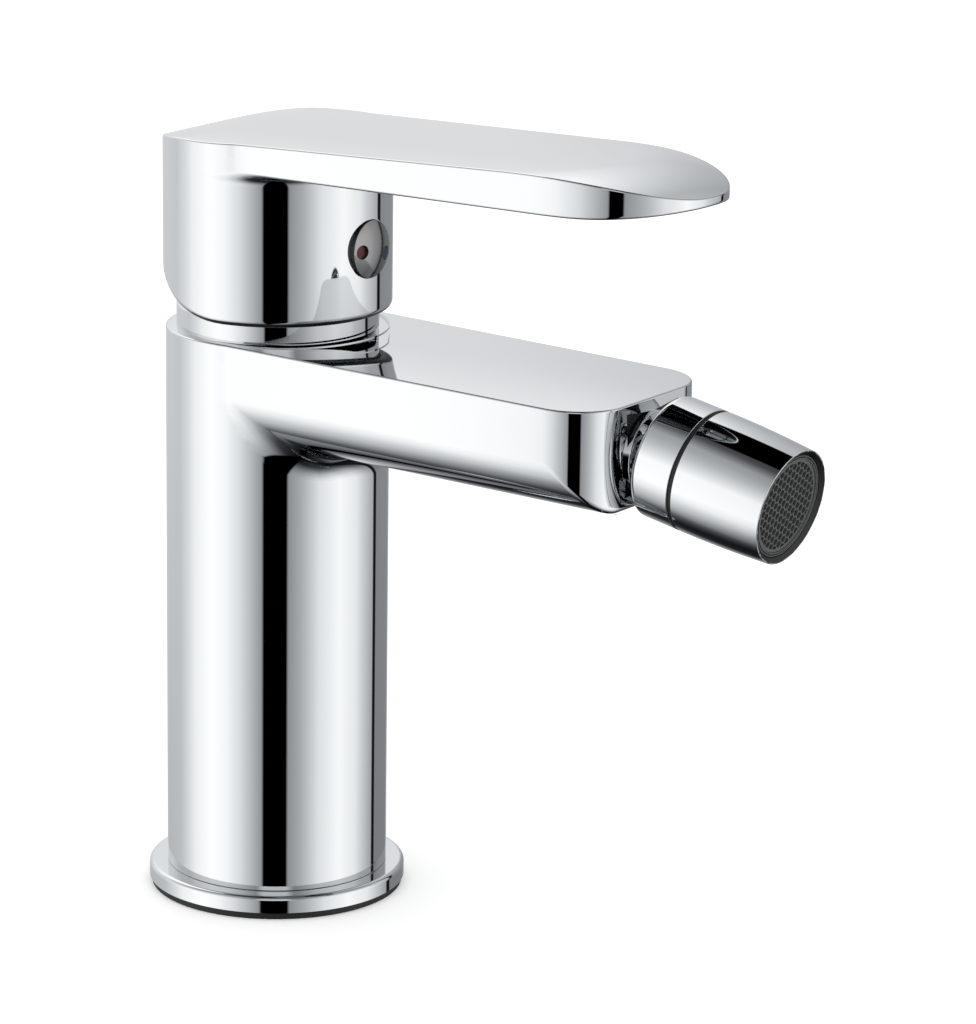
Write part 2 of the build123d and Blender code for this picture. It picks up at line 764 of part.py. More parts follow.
def make_sleeve():
    """Front sleeve: threaded spigot inside the nut, gently swelling taper, thin bright lip."""
    spigot_back = nut_front - nut_insert_depth + fit_gap
    spigot = nut_insert_radius - fit_gap
    middle = (sleeve_back + sleeve_front) / 2
    middle_radius = (head_radius + sleeve_front_radius) / 2 + sleeve_bulge
    lip_radius = sleeve_front_radius - sleeve_lip
    skin = ThreePointArc((head_radius, 0, sleeve_back), (middle_radius, 0, middle),
                         (sleeve_front_radius, 0, sleeve_front))
    corners = [(sleeve_front_radius, sleeve_front), (lip_radius, sleeve_front),
               (sleeve_bore_radius, sleeve_front - sleeve_lip_depth), (sleeve_bore_radius, washer_back),
               (sleeve_throat_radius, washer_back), (sleeve_throat_radius, sleeve_throat_back),
               (ball_seat_radius + fit_gap, sleeve_throat_back), (ball_seat_radius + fit_gap, spigot_back),
               (spigot, spigot_back), (spigot, sleeve_back), (head_radius, sleeve_back)]
    inside = Polyline(*[(r, 0, z) for r, z in corners])
    return on_head(revolve(make_face([skin, inside]), Axis.Z, 360))


def make_aerator_washer():
    return on_head(ring(aerator_radius, washer_inner_radius, washer_back, aerator_back))


def make_aerator_housing():
    """Plastic barrel with a ledge behind the flow plate's seat and one behind the honeycomb."""
    body = ring(aerator_radius, aerator_bore, aerator_back, aerator_front)
    for front in (flow_plate_back(), honeycomb_back()):
        body += ring(aerator_bore + fit_gap, aerator_bore - aerator_inner_lip, front - aerator_lip_height, front)
    return on_head(body)


def flow_plate_back():
    return aerator_back + aerator_lip_height


def honeycomb_back():
    return aerator_front - honeycomb_recess - honeycomb_thickness


def make_flow_plate():
    low = flow_plate_back()
    body = rod(aerator_bore - fit_gap, low, low + flow_plate_height)
    for turn in range(flow_hole_count):
        angle = 2 * math.pi * turn / flow_hole_count
        x = flow_ring_radius * math.cos(angle)
        y = flow_ring_radius * math.sin(angle)
        body -= rod(flow_hole_radius, low - cut_overrun, low + flow_plate_height + cut_overrun, x, y)
    return on_head(body)


def honeycomb_cells():
    """Centres of the hexagonal cells that fit inside the insert's border."""
    limit = aerator_bore - fit_gap - honeycomb_border - honeycomb_pitch / 2
    row_step = honeycomb_pitch * math.sqrt(3) / 2
    count = int(limit / row_step) + 1
    cells = []
    for row in range(-count, count + 1):
        shift = honeycomb_pitch / 2 if row % 2 else 0
        for column in range(-count - 1, count + 2):
            x = column * honeycomb_pitch + shift
            y = row * row_step
            if math.hypot(x, y) <= limit:
                cells.append((x, y))
    return cells


def make_honeycomb():
    low = honeycomb_back()
    disc = make_face(Circle(aerator_bore - fit_gap).edge())
    cell_radius = (honeycomb_pitch - honeycomb_web) / math.sqrt(3)
    holes = [Pos(x, y, 0) * RegularPolygon(cell_radius, 6, rotation=30) for x, y in honeycomb_cells()]
    plate = disc - holes
    return on_head(Pos(0, 0, low) * extrude(plate, honeycomb_thickness))


def main():
    os.makedirs("parts", exist_ok=True)
    save("base_gasket", make_gasket())
    save("base_ring", make_base_ring())
    save("body_casting", make_body())
    save("cartridge_base", make_base_plate())
    save("port_seals", make_seals(seat_height, port_seal_height))
    save("disc_seals", make_seals(base_plate_top - disc_seal_height, disc_seal_height))
    save("fixed_ceramic_disc", make_fixed_disc())
    save("moving_ceramic_disc", make_moving_disc())
    save("disc_coupler", make_coupler())
    save("cartridge_housing", make_housing())
    save("stem_carrier", make_carrier())
    save("pivot_pin", make_pivot_pin())
    save("cartridge_stem", make_stem())
    save("cartridge_nut", make_cartridge_nut())
    save("collar", make_collar())
    save("lever_handle", make_handle())
    save("grub_screw", make_grub_screw())
    save("index_plug", make_index_plug())
    save("hot_dot", make_dot(-1))
    save("cold_dot", make_dot(1))
    save("ball_nipple", make_nipple())
    save("nipple_washer", make_nipple_washer())
    save("ball_o_ring", make_ball_ring())
    save("ball_seat", make_ball_seat())
    save("swivel_nut", make_swivel_nut())
    save("seam_ring", make_seam_ring())
    save("aerator_sleeve", make_sleeve())
    save("aerator_washer", make_aerator_washer())
    save("aerator_housing", make_aerator_housing())
    save("flow_plate", make_flow_plate())
    save("honeycomb_insert", make_honeycomb())


main()
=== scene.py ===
# %% [markdown]
# A single-lever bidet mixer. The real one is a brass casting with a zinc lever, both polished and chrome
# plated, and a small swivel head with an aerator in the spout's end. Chrome is a mirror, so what it shows is
# its surroundings: the shapes must be smooth to the eye, and the studio round them matters as much as they do.

# %% Load the measured model as a fixed frame
import bpy
import json
import math
import numpy as np
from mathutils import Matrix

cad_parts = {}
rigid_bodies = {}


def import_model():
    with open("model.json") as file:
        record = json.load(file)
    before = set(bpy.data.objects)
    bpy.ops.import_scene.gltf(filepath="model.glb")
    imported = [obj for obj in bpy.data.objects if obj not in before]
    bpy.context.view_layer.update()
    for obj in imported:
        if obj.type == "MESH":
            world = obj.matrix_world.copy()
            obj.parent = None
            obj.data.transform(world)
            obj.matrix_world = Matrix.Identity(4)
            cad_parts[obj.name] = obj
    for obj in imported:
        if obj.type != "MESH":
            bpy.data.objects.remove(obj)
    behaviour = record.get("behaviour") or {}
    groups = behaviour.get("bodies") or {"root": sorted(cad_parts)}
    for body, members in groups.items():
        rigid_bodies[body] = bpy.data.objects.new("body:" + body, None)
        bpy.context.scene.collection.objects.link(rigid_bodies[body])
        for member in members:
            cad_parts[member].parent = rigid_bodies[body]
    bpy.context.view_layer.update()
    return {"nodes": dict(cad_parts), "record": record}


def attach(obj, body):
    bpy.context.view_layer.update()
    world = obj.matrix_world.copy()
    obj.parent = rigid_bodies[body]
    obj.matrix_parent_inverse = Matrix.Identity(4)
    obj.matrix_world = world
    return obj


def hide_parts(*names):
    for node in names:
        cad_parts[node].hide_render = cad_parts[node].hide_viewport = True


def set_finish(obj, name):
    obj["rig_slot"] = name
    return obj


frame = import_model()
MM = 0.001

# %% [markdown]
# Every new piece is built from patches. A patch is a grid of points with the true direction of the surface at
# each point. Patches that share an edge are welded into one mesh, and each face corner keeps its own true
# normal, so a curve reflects as one smooth sweep while an edge stays crisp. A modifier could round the edges
# too, but then their radius would not be known.

# %% Patches
def unit(vectors):
    """Each vector divided by its length."""
    return vectors / np.maximum(np.linalg.norm(vectors, axis=-1, keepdims=True), 1e-12)


def patch(points, normals):
    """Corners and corner normals of a grid's quads, turned so that every face looks along its normals."""
    p = np.stack([points[:-1, :-1], points[:-1, 1:], points[1:, 1:], points[1:, :-1]], 2).reshape(-1, 4, 3)
    n = np.stack([normals[:-1, :-1], normals[:-1, 1:], normals[1:, 1:], normals[1:, :-1]], 2).reshape(-1, 4, 3)
    facing = np.cross(p[:, 2] - p[:, 0], p[:, 3] - p[:, 1])
    if (facing * n.sum(1)).sum() < 0:
        p, n = p[:, ::-1], n[:, ::-1]
    return p, n


def facing_quads(p, n):
    """Quads with their corner normals, each quad turned so that it looks along its normals."""
    across = np.cross(p[:, 2] - p[:, 0], p[:, 3] - p[:, 1])
    wrong = (across * n.sum(1)).sum(1) < 0
    p[wrong], n[wrong] = p[wrong, ::-1], n[wrong, ::-1]
    return p, n


square = np.stack(np.meshgrid([0.0, 1.0], [0.0, 1.0], [0.0], indexing="ij"), -1)[:, :, 0]
print("a square makes", len(patch(square, np.ones_like(square))[0]), "quad")

# %% [markdown]
# Welding sorts all corners into a fine grid of cells and makes one vertex of each cell that is in use. A size
# that ends in a quarter of a thousandth of a millimetre would lie on the border of two cells, so the grid is
# shifted by a quarter of a cell.

# %% Weld patches into one mesh
CELLS_PER_MM = 2000
CELL_SHIFT = 0.25


def weld(name, patches):
    """One mesh from many patches: corners within half a micrometre become one vertex, and a quad whose side
    has shrunk to a point becomes a triangle."""
    corners = np.concatenate([p for p, n in patches])
    normals = np.concatenate([n for p, n in patches])
    keys = np.round(corners.reshape(-1, 3) * CELLS_PER_MM + CELL_SHIFT).astype(np.int64)
    first, index = np.unique(keys, axis=0, return_index=True, return_inverse=True)[1:]
    index = index.reshape(-1, 4)
    keep = index != np.roll(index, 1, axis=1)
    folded = (index[:, 0] == index[:, 2]) | (index[:, 1] == index[:, 3])
    keep[(keep.sum(1) < 3) | folded] = False
    sides = keep.sum(1)
    sides = sides[sides > 0]
    mesh = bpy.data.meshes.new(name)
    mesh.vertices.add(len(first))
    mesh.vertices.foreach_set("co", (corners.reshape(-1, 3)[first] * MM).ravel())
    mesh.loops.add(int(sides.sum()))
    mesh.loops.foreach_set("vertex_index", index[keep])
    mesh.polygons.add(len(sides))
    mesh.polygons.foreach_set("loop_start", np.concatenate([[0], np.cumsum(sides)[:-1]]))
    mesh.update(calc_edges=True)
    mesh.validate()
    mesh.shade_smooth()
    mesh.normals_split_custom_set(unit(normals[keep]).tolist())
    piece = bpy.data.objects.new(name, mesh)
    bpy.context.scene.collection.objects.link(piece)
    print(name, "vertices", len(mesh.vertices), "faces", len(mesh.polygons))
    return piece


print("corners closer than", 1 / CELLS_PER_MM, "mm become one")

# %% [markdown]
# A frame node keeps parts that no one sees from outside, such as passages and threads. They are taken over
# from a copy of the node, whose faces that lie on the new skin are left out.

# %% A frame node's triangles
def corners_of(node):
    """The node's triangles in millimetres, with one flat normal each."""
    mesh = frame["nodes"][node].data
    mesh.calc_loop_triangles()
    place = np.empty(len(mesh.vertices) * 3)
    mesh.vertices.foreach_get("co", place)
    order = np.empty(len(mesh.loop_triangles) * 3, dtype=np.int64)
    mesh.loop_triangles.foreach_get("vertices", order)
    triangles = place.reshape(-1, 3)[order].reshape(-1, 3, 3) / MM
    normals = unit(np.cross(triangles[:, 1] - triangles[:, 0], triangles[:, 2] - triangles[:, 0]))
    return triangles, normals


print("the body casting has", len(corners_of("body_casting")[0]), "triangles")

# %% [markdown]
# The frame's triangles are flat. Their corner normals are averaged over neighbours that lean only a little, so
# curves shine smoothly and edges stay crisp. Blender's own smooth shading by angle would do the same, but not
# on a mesh whose other half has normals of its own.

# %% Faces taken over from a frame node
SMOOTH_CELLS_PER_MM = 500
SMOOTH_ANGLE = 30.0


def smoothed(triangles, normals, angle):
    """Corner normals: at each corner the flat normals of its neighbours that lean less than the angle are
    added up, each weighted by the neighbour's angle at that corner."""
    keys = np.round(triangles.reshape(-1, 3) * SMOOTH_CELLS_PER_MM).astype(np.int64)
    index = np.unique(keys, axis=0, return_inverse=True)[1].reshape(-1)
    edges_a = unit(np.roll(triangles, -1, 1) - triangles).reshape(-1, 3)
    edges_b = unit(np.roll(triangles, 1, 1) - triangles).reshape(-1, 3)
    weight = np.arccos(np.clip((edges_a * edges_b).sum(1), -1, 1))
    facing = np.repeat(normals, 3, axis=0)
    order = np.argsort(index, kind="stable")
    starts = np.searchsorted(index[order], index)
    counts = np.bincount(index)[index]
    total = np.zeros_like(facing)
    limit = math.cos(math.radians(angle))
    for step in range(int(counts.max())):
        live = counts > step
        other = order[np.minimum(starts + step, len(order) - 1)]
        near = live & ((facing * facing[other]).sum(1) > limit)
        total += np.where(near[:, None], facing[other] * weight[other][:, None], 0)
    return unit(total).reshape(-1, 3, 3)


def taken_over(node, hidden=None, angle=SMOOTH_ANGLE):
    """Patches made of the node's own triangles, without those that the new skin covers."""
    triangles, normals = corners_of(node)
    facing = smoothed(triangles, normals, angle)
    if hidden is not None:
        keep = ~hidden(triangles.mean(1), normals)
        triangles, facing = triangles[keep], facing[keep]
    p = np.concatenate([triangles, triangles[:, 2:]], 1)
    n = np.concatenate([facing, facing[:, 2:]], 1)
    return p, n


print("edges above", SMOOTH_ANGLE, "degrees stay crisp")

# %% [markdown]
# Where a new skin meets faces of the frame, the two edges have different numbers of points. A strip of
# triangles sews them together like a zip, so the mesh is closed there.

# %% Sew a new skin to a frame node's own edge
def edge_ring(node, chosen):
    """The node's vertices, in millimetres, for which chosen(points) is true."""
    points = corners_of(node)[0].reshape(-1, 3)
    points = points[chosen(points)]
    return points[np.unique(np.round(points * CELLS_PER_MM), axis=0, return_index=True)[1]]


def zipped(outer, inner, centre, u, v, normal):
    """Triangles between two closed rings with different numbers of points: going round the centre by angle,
    each step along one ring makes a triangle with the last point passed on the other."""
    rings = []
    for ring in (outer, inner):
        ring = ring[np.unique(np.round(ring * CELLS_PER_MM), axis=0, return_index=True)[1]]
        turn = np.arctan2((ring - centre) @ np.array(v, float), (ring - centre) @ np.array(u, float))
        order = np.argsort(turn)
        ring, turn = ring[order], turn[order]
        rings.append((np.append(ring, ring[:1], 0), np.append(turn, turn[0] + 2 * math.pi)))
    (a, turn_a), (b, turn_b) = rings
    on_b = b[np.maximum(np.searchsorted(turn_b, turn_a[1:], "right") - 1, 0)]
    on_a = a[np.maximum(np.searchsorted(turn_a, turn_b[1:], "left") - 1, 0)]
    p = np.concatenate([np.stack([a[:-1], a[1:], on_b, on_b], 1), np.stack([b[:-1], b[1:], on_a, on_a], 1)])
    print("zipped", len(a) - 1, "to", len(b) - 1, "points")
    return facing_quads(p, np.tile(np.array(normal, float), (len(p), 4, 1)))


ORIGIN, AHEAD, SIDEWAYS, UPWARD, DOWNWARD = np.zeros(3), (1, 0, 0), (0, 1, 0), (0, 0, 1), (0, 0, -1)
around = np.radians(np.arange(0, 360, 60))
hexagon = np.stack([np.cos(around), np.sin(around), 0 * around], -1)
print("a test strip has", len(zipped(hexagon * 2, hexagon, ORIGIN, AHEAD, SIDEWAYS, UPWARD)[0]), "triangles")

# %% [markdown]
# Most fittings are turned on a lathe: an outline carried round an axis. The outline is a list of corners, and
# each corner may have a radius, as a turner would break an edge.

# %% Outline with rounded corners
ARC_POINTS = 9


def rounded_outline(corners):
    """Segments (points, normals) of a closed outline of (radius, height, corner radius), going anticlockwise.
    A corner's arc touches both sides: it starts r / tan(half the corner's angle) away from the corner."""
    count = len(corners)
    entry, leave, arcs = [], [], []
    for i in range(count):
        here = np.array(corners[i][:2], float)
        before = np.array(corners[i - 1][:2], float)
        after = np.array(corners[(i + 1) % count][:2], float)
        radius = corners[i][2] if len(corners[i]) > 2 else 0.0
        to_before, to_after = unit(before - here), unit(after - here)
        half = math.acos(max(-1.0, min(1.0, float(to_before @ to_after)))) / 2
        if radius == 0 or half > math.pi / 2 - 1e-6:
            entry.append(here)
            leave.append(here)
            arcs.append(None)
            continue
        cut = radius / math.tan(half)
        start, end = here + to_before * cut, here + to_after * cut
        centre = here + unit(to_before + to_after) * (radius / math.sin(half))
        outward = -1 if (to_before[0] * to_after[1] - to_before[1] * to_after[0]) > 0 else 1
        a0, a1 = unit(start - centre), unit(end - centre)
        t = np.linspace(0, 1, ARC_POINTS)[:, None]
        sweep = math.acos(max(-1.0, min(1.0, float(a0 @ a1))))
        spokes = (np.sin((1 - t) * sweep) * a0 + np.sin(t * sweep) * a1) / math.sin(sweep)
        entry.append(start)
        leave.append(end)
        arcs.append((centre + spokes * radius, spokes * outward))
    segments = []
    for i in range(count):
        if arcs[i] is not None:
            segments.append(arcs[i])
        start, end = leave[i], entry[(i + 1) % count]
        if np.linalg.norm(end - start) > 1e-9:
            along = unit(end - start)
            side = np.array([along[1], -along[0]])
            segments.append((np.array([start, end]), np.array([side, side])))
    return segments


print("a washer's outline has", len(rounded_outline([(1, 0), (2, 0, 0.2), (2, 1, 0.2), (1, 1)])), "segments")

# %% [markdown]
# The outline goes round the axis in equal steps. Screw and Spin can do this too, but a grid keeps the true
# normal of every point, and the last step closes on the first exactly.

# %% Turned pieces
TURNED_STEPS = 128
FINE_STEPS = 160


def turned(name, corners, axis=(0, 0, 1), centre=(0, 0, 0), steps=TURNED_STEPS):
    """A piece of revolution: point = centre + height * axis + radius * (cos a * u + sin a * v)."""
    axis = unit(np.array(axis, float))
    u = unit(np.cross([0, 1.0, 0], axis)) if abs(axis[2]) < 0.999 else np.array([1.0, 0, 0])
    v = np.cross(axis, u)
    angle = np.linspace(0, 2 * math.pi, steps + 1)
    angle[-1] = 0
    spokes = np.cos(angle)[:, None] * u + np.sin(angle)[:, None] * v
    patches = []
    for points, normals in rounded_outline(corners):
        grid = np.array(centre) + points[:, 1, None, None] * axis + points[:, 0, None, None] * spokes[None]
        facing = normals[:, 1, None, None] * axis + normals[:, 0, None, None] * spokes[None]
        patches.append(patch(grid, facing))
    return weld(name, patches)


print("small pieces turn in", TURNED_STEPS, "steps, the ones that show most in", FINE_STEPS)

# %% [markdown]
# A casting is described by how far a point is from its surface. Simple distances to a cylinder or a plane are
# joined with a rolling ball: the ball that touches both surfaces gives the true fillet, also where the two
# surfaces run nearly parallel and the fillet fades away.

# %% Distances and rolling-ball blends
def merged(first, second, radius):
    """Union of two distances with a fillet: where a ball of that radius touches both, distance = radius minus
    the way from the point to the ball's centre; elsewhere the smaller of the two."""
    (a, na), (b, nb) = first, second
    lean = (na * nb).sum(-1)
    spread = np.maximum(1 - lean ** 2, 1e-9)
    along_a = ((radius - a) - lean * (radius - b)) / spread
    along_b = ((radius - b) - lean * (radius - a)) / spread
    touching = (along_a > 0) & (along_b > 0) & (spread > 1e-6)
    way = along_a[..., None] * na + along_b[..., None] * nb
    length = np.linalg.norm(way, axis=-1)
    value = np.where(touching, radius - length, np.minimum(a, b))
    plain = np.where((a < b)[..., None], na, nb)
    normal = np.where(touching[..., None], way / np.maximum(length, 1e-9)[..., None], plain)
    return value, normal


def common(first, second, radius):
    """Overlap of two distances with a rounded edge: the fillet rule above, turned inside out."""
    (a, na), (b, nb) = first, second
    value, normal = merged((-a, -na), (-b, -nb), radius)
    return -value, -normal


def level(p, place, direction):
    """Distance beyond a plane: the way from place to the point, measured along direction."""
    direction = unit(np.array(direction, float))
    return (p - np.array(place, float)) @ direction, np.broadcast_to(direction, p.shape).copy()


def round_column(p, radius):
    """Distance from an upright cylinder: the point's distance from the axis, less the radius."""
    reach = np.maximum(np.hypot(p[..., 0], p[..., 1]), 1e-9)
    normal = np.stack([p[..., 0] / reach, p[..., 1] / reach, np.zeros(p.shape[:-1])], -1)
    return reach - radius, normal


sample = np.array([[3.0, 4.0, 0.0]])
print("a point 5 mm out lies", float(round_column(sample, 4.0)[0][0]), "mm beyond a column of 4 mm radius")

# %% [markdown]
# The surface itself is found by sending rays out from inside the casting. Each ray is halved again and again
# between a point inside and one outside, which never fails, however the surfaces are blended.

# %% Where rays meet the surface
RAY_REACH = 60.0
HALVINGS = 40


def march(field, origins, directions):
    """Where each ray leaves the solid: its span is halved again and again. Returns points and normals."""
    low = np.zeros(origins.shape[:-1])
    high = np.full(origins.shape[:-1], RAY_REACH)
    for step in range(HALVINGS):
        middle = (low + high) / 2
        inside = field(origins + directions * middle[..., None])[0] < 0
        low = np.where(inside, middle, low)
        high = np.where(inside, high, middle)
    points = origins + directions * low[..., None]
    return points, field(points)[1]


print("rays are exact to", RAY_REACH / 2 ** HALVINGS, "mm")

# %% [markdown]
# Column and spout, and likewise cap and lever, are one casting, so each is one surface here. The surface is
# cut into slices that fan out round a line in the crook, like the pages of a book standing open: level slices
# across the column turn step by step into upright slices across the arm.

# %% Slices that fan out round the crook
def slice_rays(spec, angle):
    """Rays in one slice: direction = cos a * outward + sin a * sideways, where outward is turned up from level.
    spec: the pivot's x and z, the slice's turn up from level, and how far out its centre is."""
    px, pz, turn, centre = spec[:4]
    outward = np.array([-math.cos(turn), 0.0, math.sin(turn)])
    middle = np.array([px, 0.0, pz]) + outward * centre
    rays = np.cos(angle)[:, None] * outward + np.sin(angle)[:, None] * np.array([0, 1.0, 0])
    return np.broadcast_to(middle, rays.shape), rays


print("a level slice looks along", slice_rays((0, 0, 0, 0), np.zeros(1))[1][0])

# %% [markdown]
# Every slice is cut into the same number of lengths, so that slices next to each other form a grid. Even
# lengths suit the body. The lever has a crisp lower edge, so there the cuts are kept close to that edge.

# %% Walls from slices
PROBES = 1441
LEAST_EDGE_TURN = 0.5


def wall_rows(field, specs, half, sharp=None):
    """Points and normals of every slice's wall. Each half of a wall is cut into as many lengths as half says:
    one number for even lengths, or (to the edge, over the edge, beyond it) where the arm has a sharp edge of
    at most the radius sharp. Where a slice shows no edge, the cuts keep their share of the length."""
    measured, edges = [], []
    for spec in specs:
        angle = np.linspace(spec[4], 2 * math.pi - spec[4], PROBES)
        points, normals = march(field, *slice_rays(spec, angle))
        length = np.concatenate([[0], np.cumsum(np.linalg.norm(np.diff(points, axis=0), axis=1))])
        measured.append((angle, length))
        edge = None
        if sharp:
            turning = np.linalg.norm(np.diff(normals, axis=0), axis=1)
            tight = turning > np.diff(length) / sharp
            tight[PROBES // 2:] = False
            if tight.any() and turning[tight].sum() > LEAST_EDGE_TURN:
                middle = (length[1:] + length[:-1]) / 2
                edge = float((middle * turning)[tight].sum() / turning[tight].sum() / length[-1])
        edges.append(edge)
    if sharp:
        known = [i for i, edge in enumerate(edges) if edge is not None]
        edges = list(np.interp(range(len(specs)), known, [edges[i] for i in known]))
    rows, facing = [], []
    for spec, (angle, length), edge in zip(specs, measured, edges):
        if sharp:
            width = sharp / length[-1]
            stops = [0, max(edge - width, edge / 2), min(edge + width, (edge + 0.5) / 2), 0.5]
            parts = [np.linspace(stops[k], stops[k + 1], half[k] + 1)[k > 0:] for k in range(3)]
            shares = np.concatenate(parts)
        else:
            shares = np.linspace(0, 0.5, half + 1)
        shares = np.concatenate([shares, 1 - shares[-2::-1]])
        points, normals = march(field, *slice_rays(spec, np.interp(shares, length / length[-1], angle)))
        points[len(shares) // 2, 1] = 0
        if spec[4] == 0:
            points[[0, -1], 1] = 0
            points[-1], normals[-1] = points[0], normals[0]
        points[: len(shares) // 2, 1] = -points[: len(shares) // 2: -1, 1]
        rows.append(points)
        facing.append(normals)
    return np.array(rows), np.array(facing)


print("each slice is probed at", PROBES, "places")

# %% [markdown]
# The slices end on the rim, where the wall meets the rounded top edge. Near the root of the arm the surface
# bends most, so the slices stand closest there.

# %% Plan of the slices
RIM_ROUNDS = 3
REAR_SLICES, SIDE_SLICES, ROOT_SLICES, ARM_SLICES = 8, 23, 40, 12
ROOT_LENGTH = 12.0
CENTRE_SHARE = 0.56


def rim_place(field, x, rim):
    """Half width and height of the wall's upper end at x."""
    y = 0.0
    for attempt in range(RIM_ROUNDS):
        z = rim(x, y)
        point = march(field, np.array([[x, 0.0, z]]), np.array([[0, 1.0, 0]]))[0]
        y = float(point[0, 1])
    return y, rim(x, y)


def slice_plan(field, pivot, back, foot, rim, ends, middle=None):
    """The slices from foot to end: level ones, then ones that turn up to the rear of the rim, then ones that
    meet the rim further and further along, then upright ones at the given ends."""
    px, pz = pivot
    specs = [(px, z, 0.0, px, 0.0) for z in foot]
    rear = math.atan2(rim(-back, 0.0) - pz, px + back)
    specs += [(px, pz, t, (px + back) / math.cos(t) * CENTRE_SHARE, 0.0)
              for t in np.linspace(0, rear, REAR_SLICES + 1)[:-1]]
    along = [-back * math.cos(t) for t in np.linspace(0, math.pi / 2, SIDE_SLICES)]
    along += list(np.linspace(0, ROOT_LENGTH, ROOT_SLICES + 1)[1:])
    along += list(np.linspace(ROOT_LENGTH, px, ARM_SLICES + 1)[1:])
    first_rim = len(specs)
    for x in along:
        y, z = rim_place(field, x, rim) if x > -back else (0.0, rim(-back, 0.0))
        turn = math.atan2(z - pz, px - x)
        outer = math.hypot(z - pz, px - x)
        centre = outer * CENTRE_SHARE
        specs.append((px, pz, turn, centre, math.atan2(y, outer - centre)))
    for x in ends:
        y, z = rim_place(field, x, rim)
        centre = middle(x) - pz if middle else (z - pz) * CENTRE_SHARE
        specs.append((x, pz, math.pi / 2, centre, math.atan2(y, z - pz - centre)))
    return specs, first_rim


print("slices from rear to arm", REAR_SLICES + SIDE_SLICES + ROOT_SLICES + ARM_SLICES)

# %% [markdown]
# Two small shapes close a casting: a strip that rolls an edge over, and a flat band between two lines.

# %% Edge strips and flat bands
STRIP_STEPS = 6


def edge_strip(points, normals, tops, radius, steps=STRIP_STEPS):
    """A rounded edge: point = centre + radius * spoke, where the centre lies one radius inside the wall and the
    spoke swings evenly from the wall's normal to the top's."""
    centre = points - radius * normals
    cosine = np.clip((normals * tops).sum(-1), -1, 1)
    sweep = np.arccos(cosine)[:, None]
    t = np.linspace(0, 1, steps)[:, None, None]
    spokes = (np.sin((1 - t) * sweep) * normals + np.sin(t * sweep) * tops) / np.sin(sweep)
    return centre + radius * spokes, spokes


def between(inner, outer, normal, steps):
    """A flat patch from one line to another: point = inner + (outer - inner) * t, in even steps of t."""
    t = np.linspace(0, 1, steps + 1)[:, None, None]
    grid = inner + (outer - inner) * t
    return patch(grid, np.broadcast_to(np.array(normal, float), grid.shape))


def swung(normals, new_angle):
    """Normals turned about the upright: new_angle maps each one's angle from the side to its angle now."""
    flat = np.hypot(normals[..., 0], normals[..., 1])
    angle = new_angle(np.degrees(np.arctan2(normals[..., 0], np.abs(normals[..., 1]))))
    ahead, across = np.sin(np.radians(angle)), np.cos(np.radians(angle)) * np.sign(normals[..., 1])
    return np.stack([flat * ahead, flat * across, normals[..., 2]], -1)


print("a rolled edge has", STRIP_STEPS - 1, "strips")

# %% [markdown]
# The body casting: an upright column of 46 mm with a box-shaped spout growing out of it. On the real tap a
# ball cutter's radius runs round the spout's underside and corners, and a larger fillet fills the crook.

# %% Body casting's sizes
COLUMN_R = 23.0
FOOT_Z = 5.0
FOOT_EDGE = 0.2
BODY_TOP = 120.2
SPOUT_REACH = 92.3
SPOUT_ROOT_HALF = 22.7
SPOUT_END_HALF = 21.6
SPOUT_DEPTH = 21.3
SPOUT_DROP = 1.6
SPOUT_CORNER = 11.0
SPOUT_END_EDGE = 1.2
ROOT_FILLET = 7.0
TOP_EDGE = 0.45
CARTRIDGE_WELL_R = 20.0
NIPPLE_HOLE_R = 5.9
BALL = np.array([99.3, 0.0, 106.7])
taper = (SPOUT_ROOT_HALF - SPOUT_END_HALF) / SPOUT_REACH
slope = SPOUT_DROP / SPOUT_REACH
print("spout narrows by", round(math.degrees(math.atan(taper)), 2), "degrees a side and falls by",
      round(math.degrees(math.atan(slope)), 2))

# %% [markdown]
# The spout's section is the overlap of its two sides and its underside, with wide rolled corners. The end cuts
# it off with a small edge, and the column joins it with the fillet in the crook. The flat top comes later.

# %% Body casting's walls
def body_walls(p):
    """Column and spout without their flat top: side walls at |y| = half width - taper * x, all edges rolled."""
    length = math.hypot(1, taper)
    normal = np.stack([np.full(p.shape[:-1], taper), np.sign(p[..., 1]), np.zeros(p.shape[:-1])], -1) / length
    side = (np.abs(p[..., 1]) - SPOUT_ROOT_HALF + taper * p[..., 0]) / length, normal
    under = level(p, (0, 0, BODY_TOP - SPOUT_DEPTH), (-slope, 0, -1))
    end = level(p, (SPOUT_REACH, 0, 0), (1, 0, 0))
    section = common(side, under, SPOUT_CORNER)
    spout = common(section, common(side, end, SPOUT_CORNER), SPOUT_END_EDGE)
    column = round_column(p, COLUMN_R)
    joined = merged(column, spout, ROOT_FILLET)
    ahead = p[..., 0] > 0
    return np.where(ahead, joined[0], column[0]), np.where(ahead[..., None], joined[1], column[1])


def body_rim(x, y):
    """Height of the top edge's lower end: the flat top falls along the spout."""
    return BODY_TOP - slope * max(x, 0.0) - TOP_EDGE


print("half width at the spout's root", round(rim_place(body_walls, ROOT_LENGTH, body_rim)[0], 2), "mm")

# %% [markdown]
# The slices fan out round a point in the crook. Those across the spout crowd towards its rounded end.

